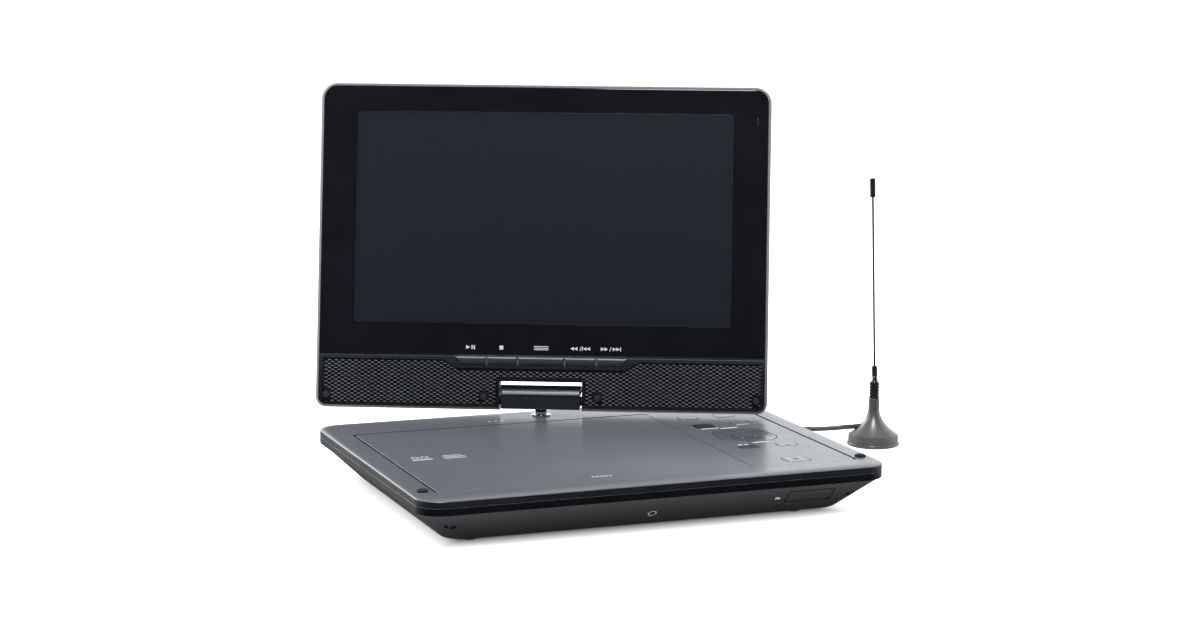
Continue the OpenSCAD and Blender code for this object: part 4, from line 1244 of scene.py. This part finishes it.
def make_plug():
    """Ribbed grip and metal barrel, along -y into the rear socket"""
    place = Matrix.Translation((JACK_X, PLUG_END_Y, JACK_Z)) @ Matrix.Rotation(pi / 2, 4, "X")
    profile = [(0.01, 0), (1.7, 0), (1.8, 0.3)]
    for i in range(6):
        z = 1 + 1.7 * i
        r = 1.9 + 0.16 * i
        profile += [(r, z), (r + 0.02, z + 0.9), (r - 0.25, z + 1.1), (r - 0.25, z + 1.5)]
    profile += [(3.2, 12.0), (3.9, 12.6), (4.0, 13.2), (4.0, 29.4), (3.8, 30.0), (0.01, 30.0)]
    piece("plug", lathe(profile, 40), LEAD_BLACK, "base", ["antenna_plug"], place=place)


make_plug()

# ---------- CAD nodes that keep their shape ----------

KEPT = {
    "disc_tray": (INNER, 0.2), "spindle_motor": (STEEL, 0.2), "spindle_hub": (DARK_PARTS, 0.2),
    "pickup_sled": (DARK_PARTS, 0.2), "guide_rods": (STEEL, 0), "main_board": (BOARD, 0),
    "battery_pack": (BATTERY, 0.3), "status_lamps": (LAMP, 0.1), "case_screws": (STEEL, 0.1),
    "dc_jack": (DARK_PARTS, 0.1), "av_jacks": (DARK_PARTS, 0.1), "antenna_jack": (DARK_PARTS, 0.15),
    "lid_arms": (INNER, 0.2), "hinge_pins": (DARK_PARTS, 0.1), "speakers": (SPEAKER_CLOTH, 0.2),
    "coil_tie": (RUBBER, 0.15),
}
for node, (material, bevel) in KEPT.items():
    keep_node(node, material, bevel)

# ---------- floor and light ----------


def make_floor():
    half, z = 6.0, TABLE_Z * MM
    corners = [(-half, -half, z), (half, -half, z), (half, half, z), (-half, half, z)]
    mesh = bpy.data.meshes.new("floor")
    mesh.from_pydata(corners, [], [(0, 1, 2, 3)])
    material = new_material("floor_white", (0.8, 0.8, 0.8), 0.9, Emission_Color=(1, 1, 1, 1))
    n = Nodes(material)
    # it glows outside the base's footprint, so that only a faint shadow is left round it
    away = n.node("ShaderNodeVectorMath", operation="ABSOLUTE")
    n.link(n.where, away.inputs[0])
    aside = n.axes(away.outputs[0])
    glow = 0.96
    sides = n.ramp(aside["X"], 0, glow, 0.09, 0.11)
    ends = n.ramp(aside["Y"], 0, glow, 0.063, 0.083)
    n.set("Emission Strength", n.maths("MAXIMUM", sides, ends))
    mesh.materials.append(material)
    floor = add_object("floor", mesh)
    floor.visible_glossy = False


def area_light(name, place, aim, size, power, shiny=False):
    data = bpy.data.lights.new(name, "AREA")
    data.shape = "RECTANGLE"
    data.size, data.size_y = size
    data.energy = power
    light = add_object(name, data)
    light.location = place
    light.visible_glossy = shiny
    light.rotation_euler = (Vector(aim) - Vector(place)).to_track_quat("-Z", "Y").to_euler()


def make_world():
    """White to the camera; to the object, dark in front, dim above, bright behind and beside"""
    world = bpy.data.worlds.new("studio")
    bpy.context.scene.world = world
    world.use_nodes = True
    n = Nodes(world, "Background", "Generated")
    n.shader.inputs["Color"].default_value = (0.99, 0.995, 1, 1)
    facing = n.node("ShaderNodeVectorMath", operation="DOT_PRODUCT")
    facing.inputs[1].default_value = (sin(AZIMUTH), -cos(AZIMUTH), 0)
    n.link(n.where, facing.inputs[0])
    front = n.ramp(facing.outputs["Value"], 1.2, 0.03, -0.15, 0.5)
    height = n.axes(n.where)["Z"]
    above = n.ramp(height, 1.0, 0.22, 0.25, 0.75)
    below = n.ramp(height, 0.1, 1.0, -0.35, 0.0)
    n.set("Strength", n.maths("MULTIPLY", front, n.maths("MULTIPLY", above, below)))
    shown = n.node("ShaderNodeBackground")
    shown.inputs["Color"].default_value = (1, 1, 1, 1)
    shown.inputs["Strength"].default_value = 1.0
    path = n.node("ShaderNodeLightPath")
    mix = n.node("ShaderNodeMixShader")
    n.link(path.outputs["Is Camera Ray"], mix.inputs["Fac"])
    n.link(n.shader.outputs["Background"], mix.inputs[1])
    n.link(shown.outputs["Background"], mix.inputs[2])
    n.link(mix.outputs["Shader"], n.tree.nodes["World Output"].inputs["Surface"])


make_floor()
make_world()
area_light("overhead", (0.1, 0.2, 1.6), (0, 0, 0), (1.6, 1.2), 30)
area_light("left", (-1.6, -0.4, 0.9), (0, 0, 0.05), (0.8, 1.2), 12)
area_light("right", (1.5, 0.1, 0.7), (0.1, 0, 0.05), (0.8, 1.0), 10)
area_light("front_strip", (-0.4, -1.0, 1.75), (0.05, 0, 0.05), (0.3, 1.3), 16, shiny=True)
area_light("rear_left", (-0.75, 1.9, 0.85), (0, 0, 0.02), (0.9, 0.7), 6, shiny=True)
bpy.context.scene.view_settings.view_transform = "Standard"
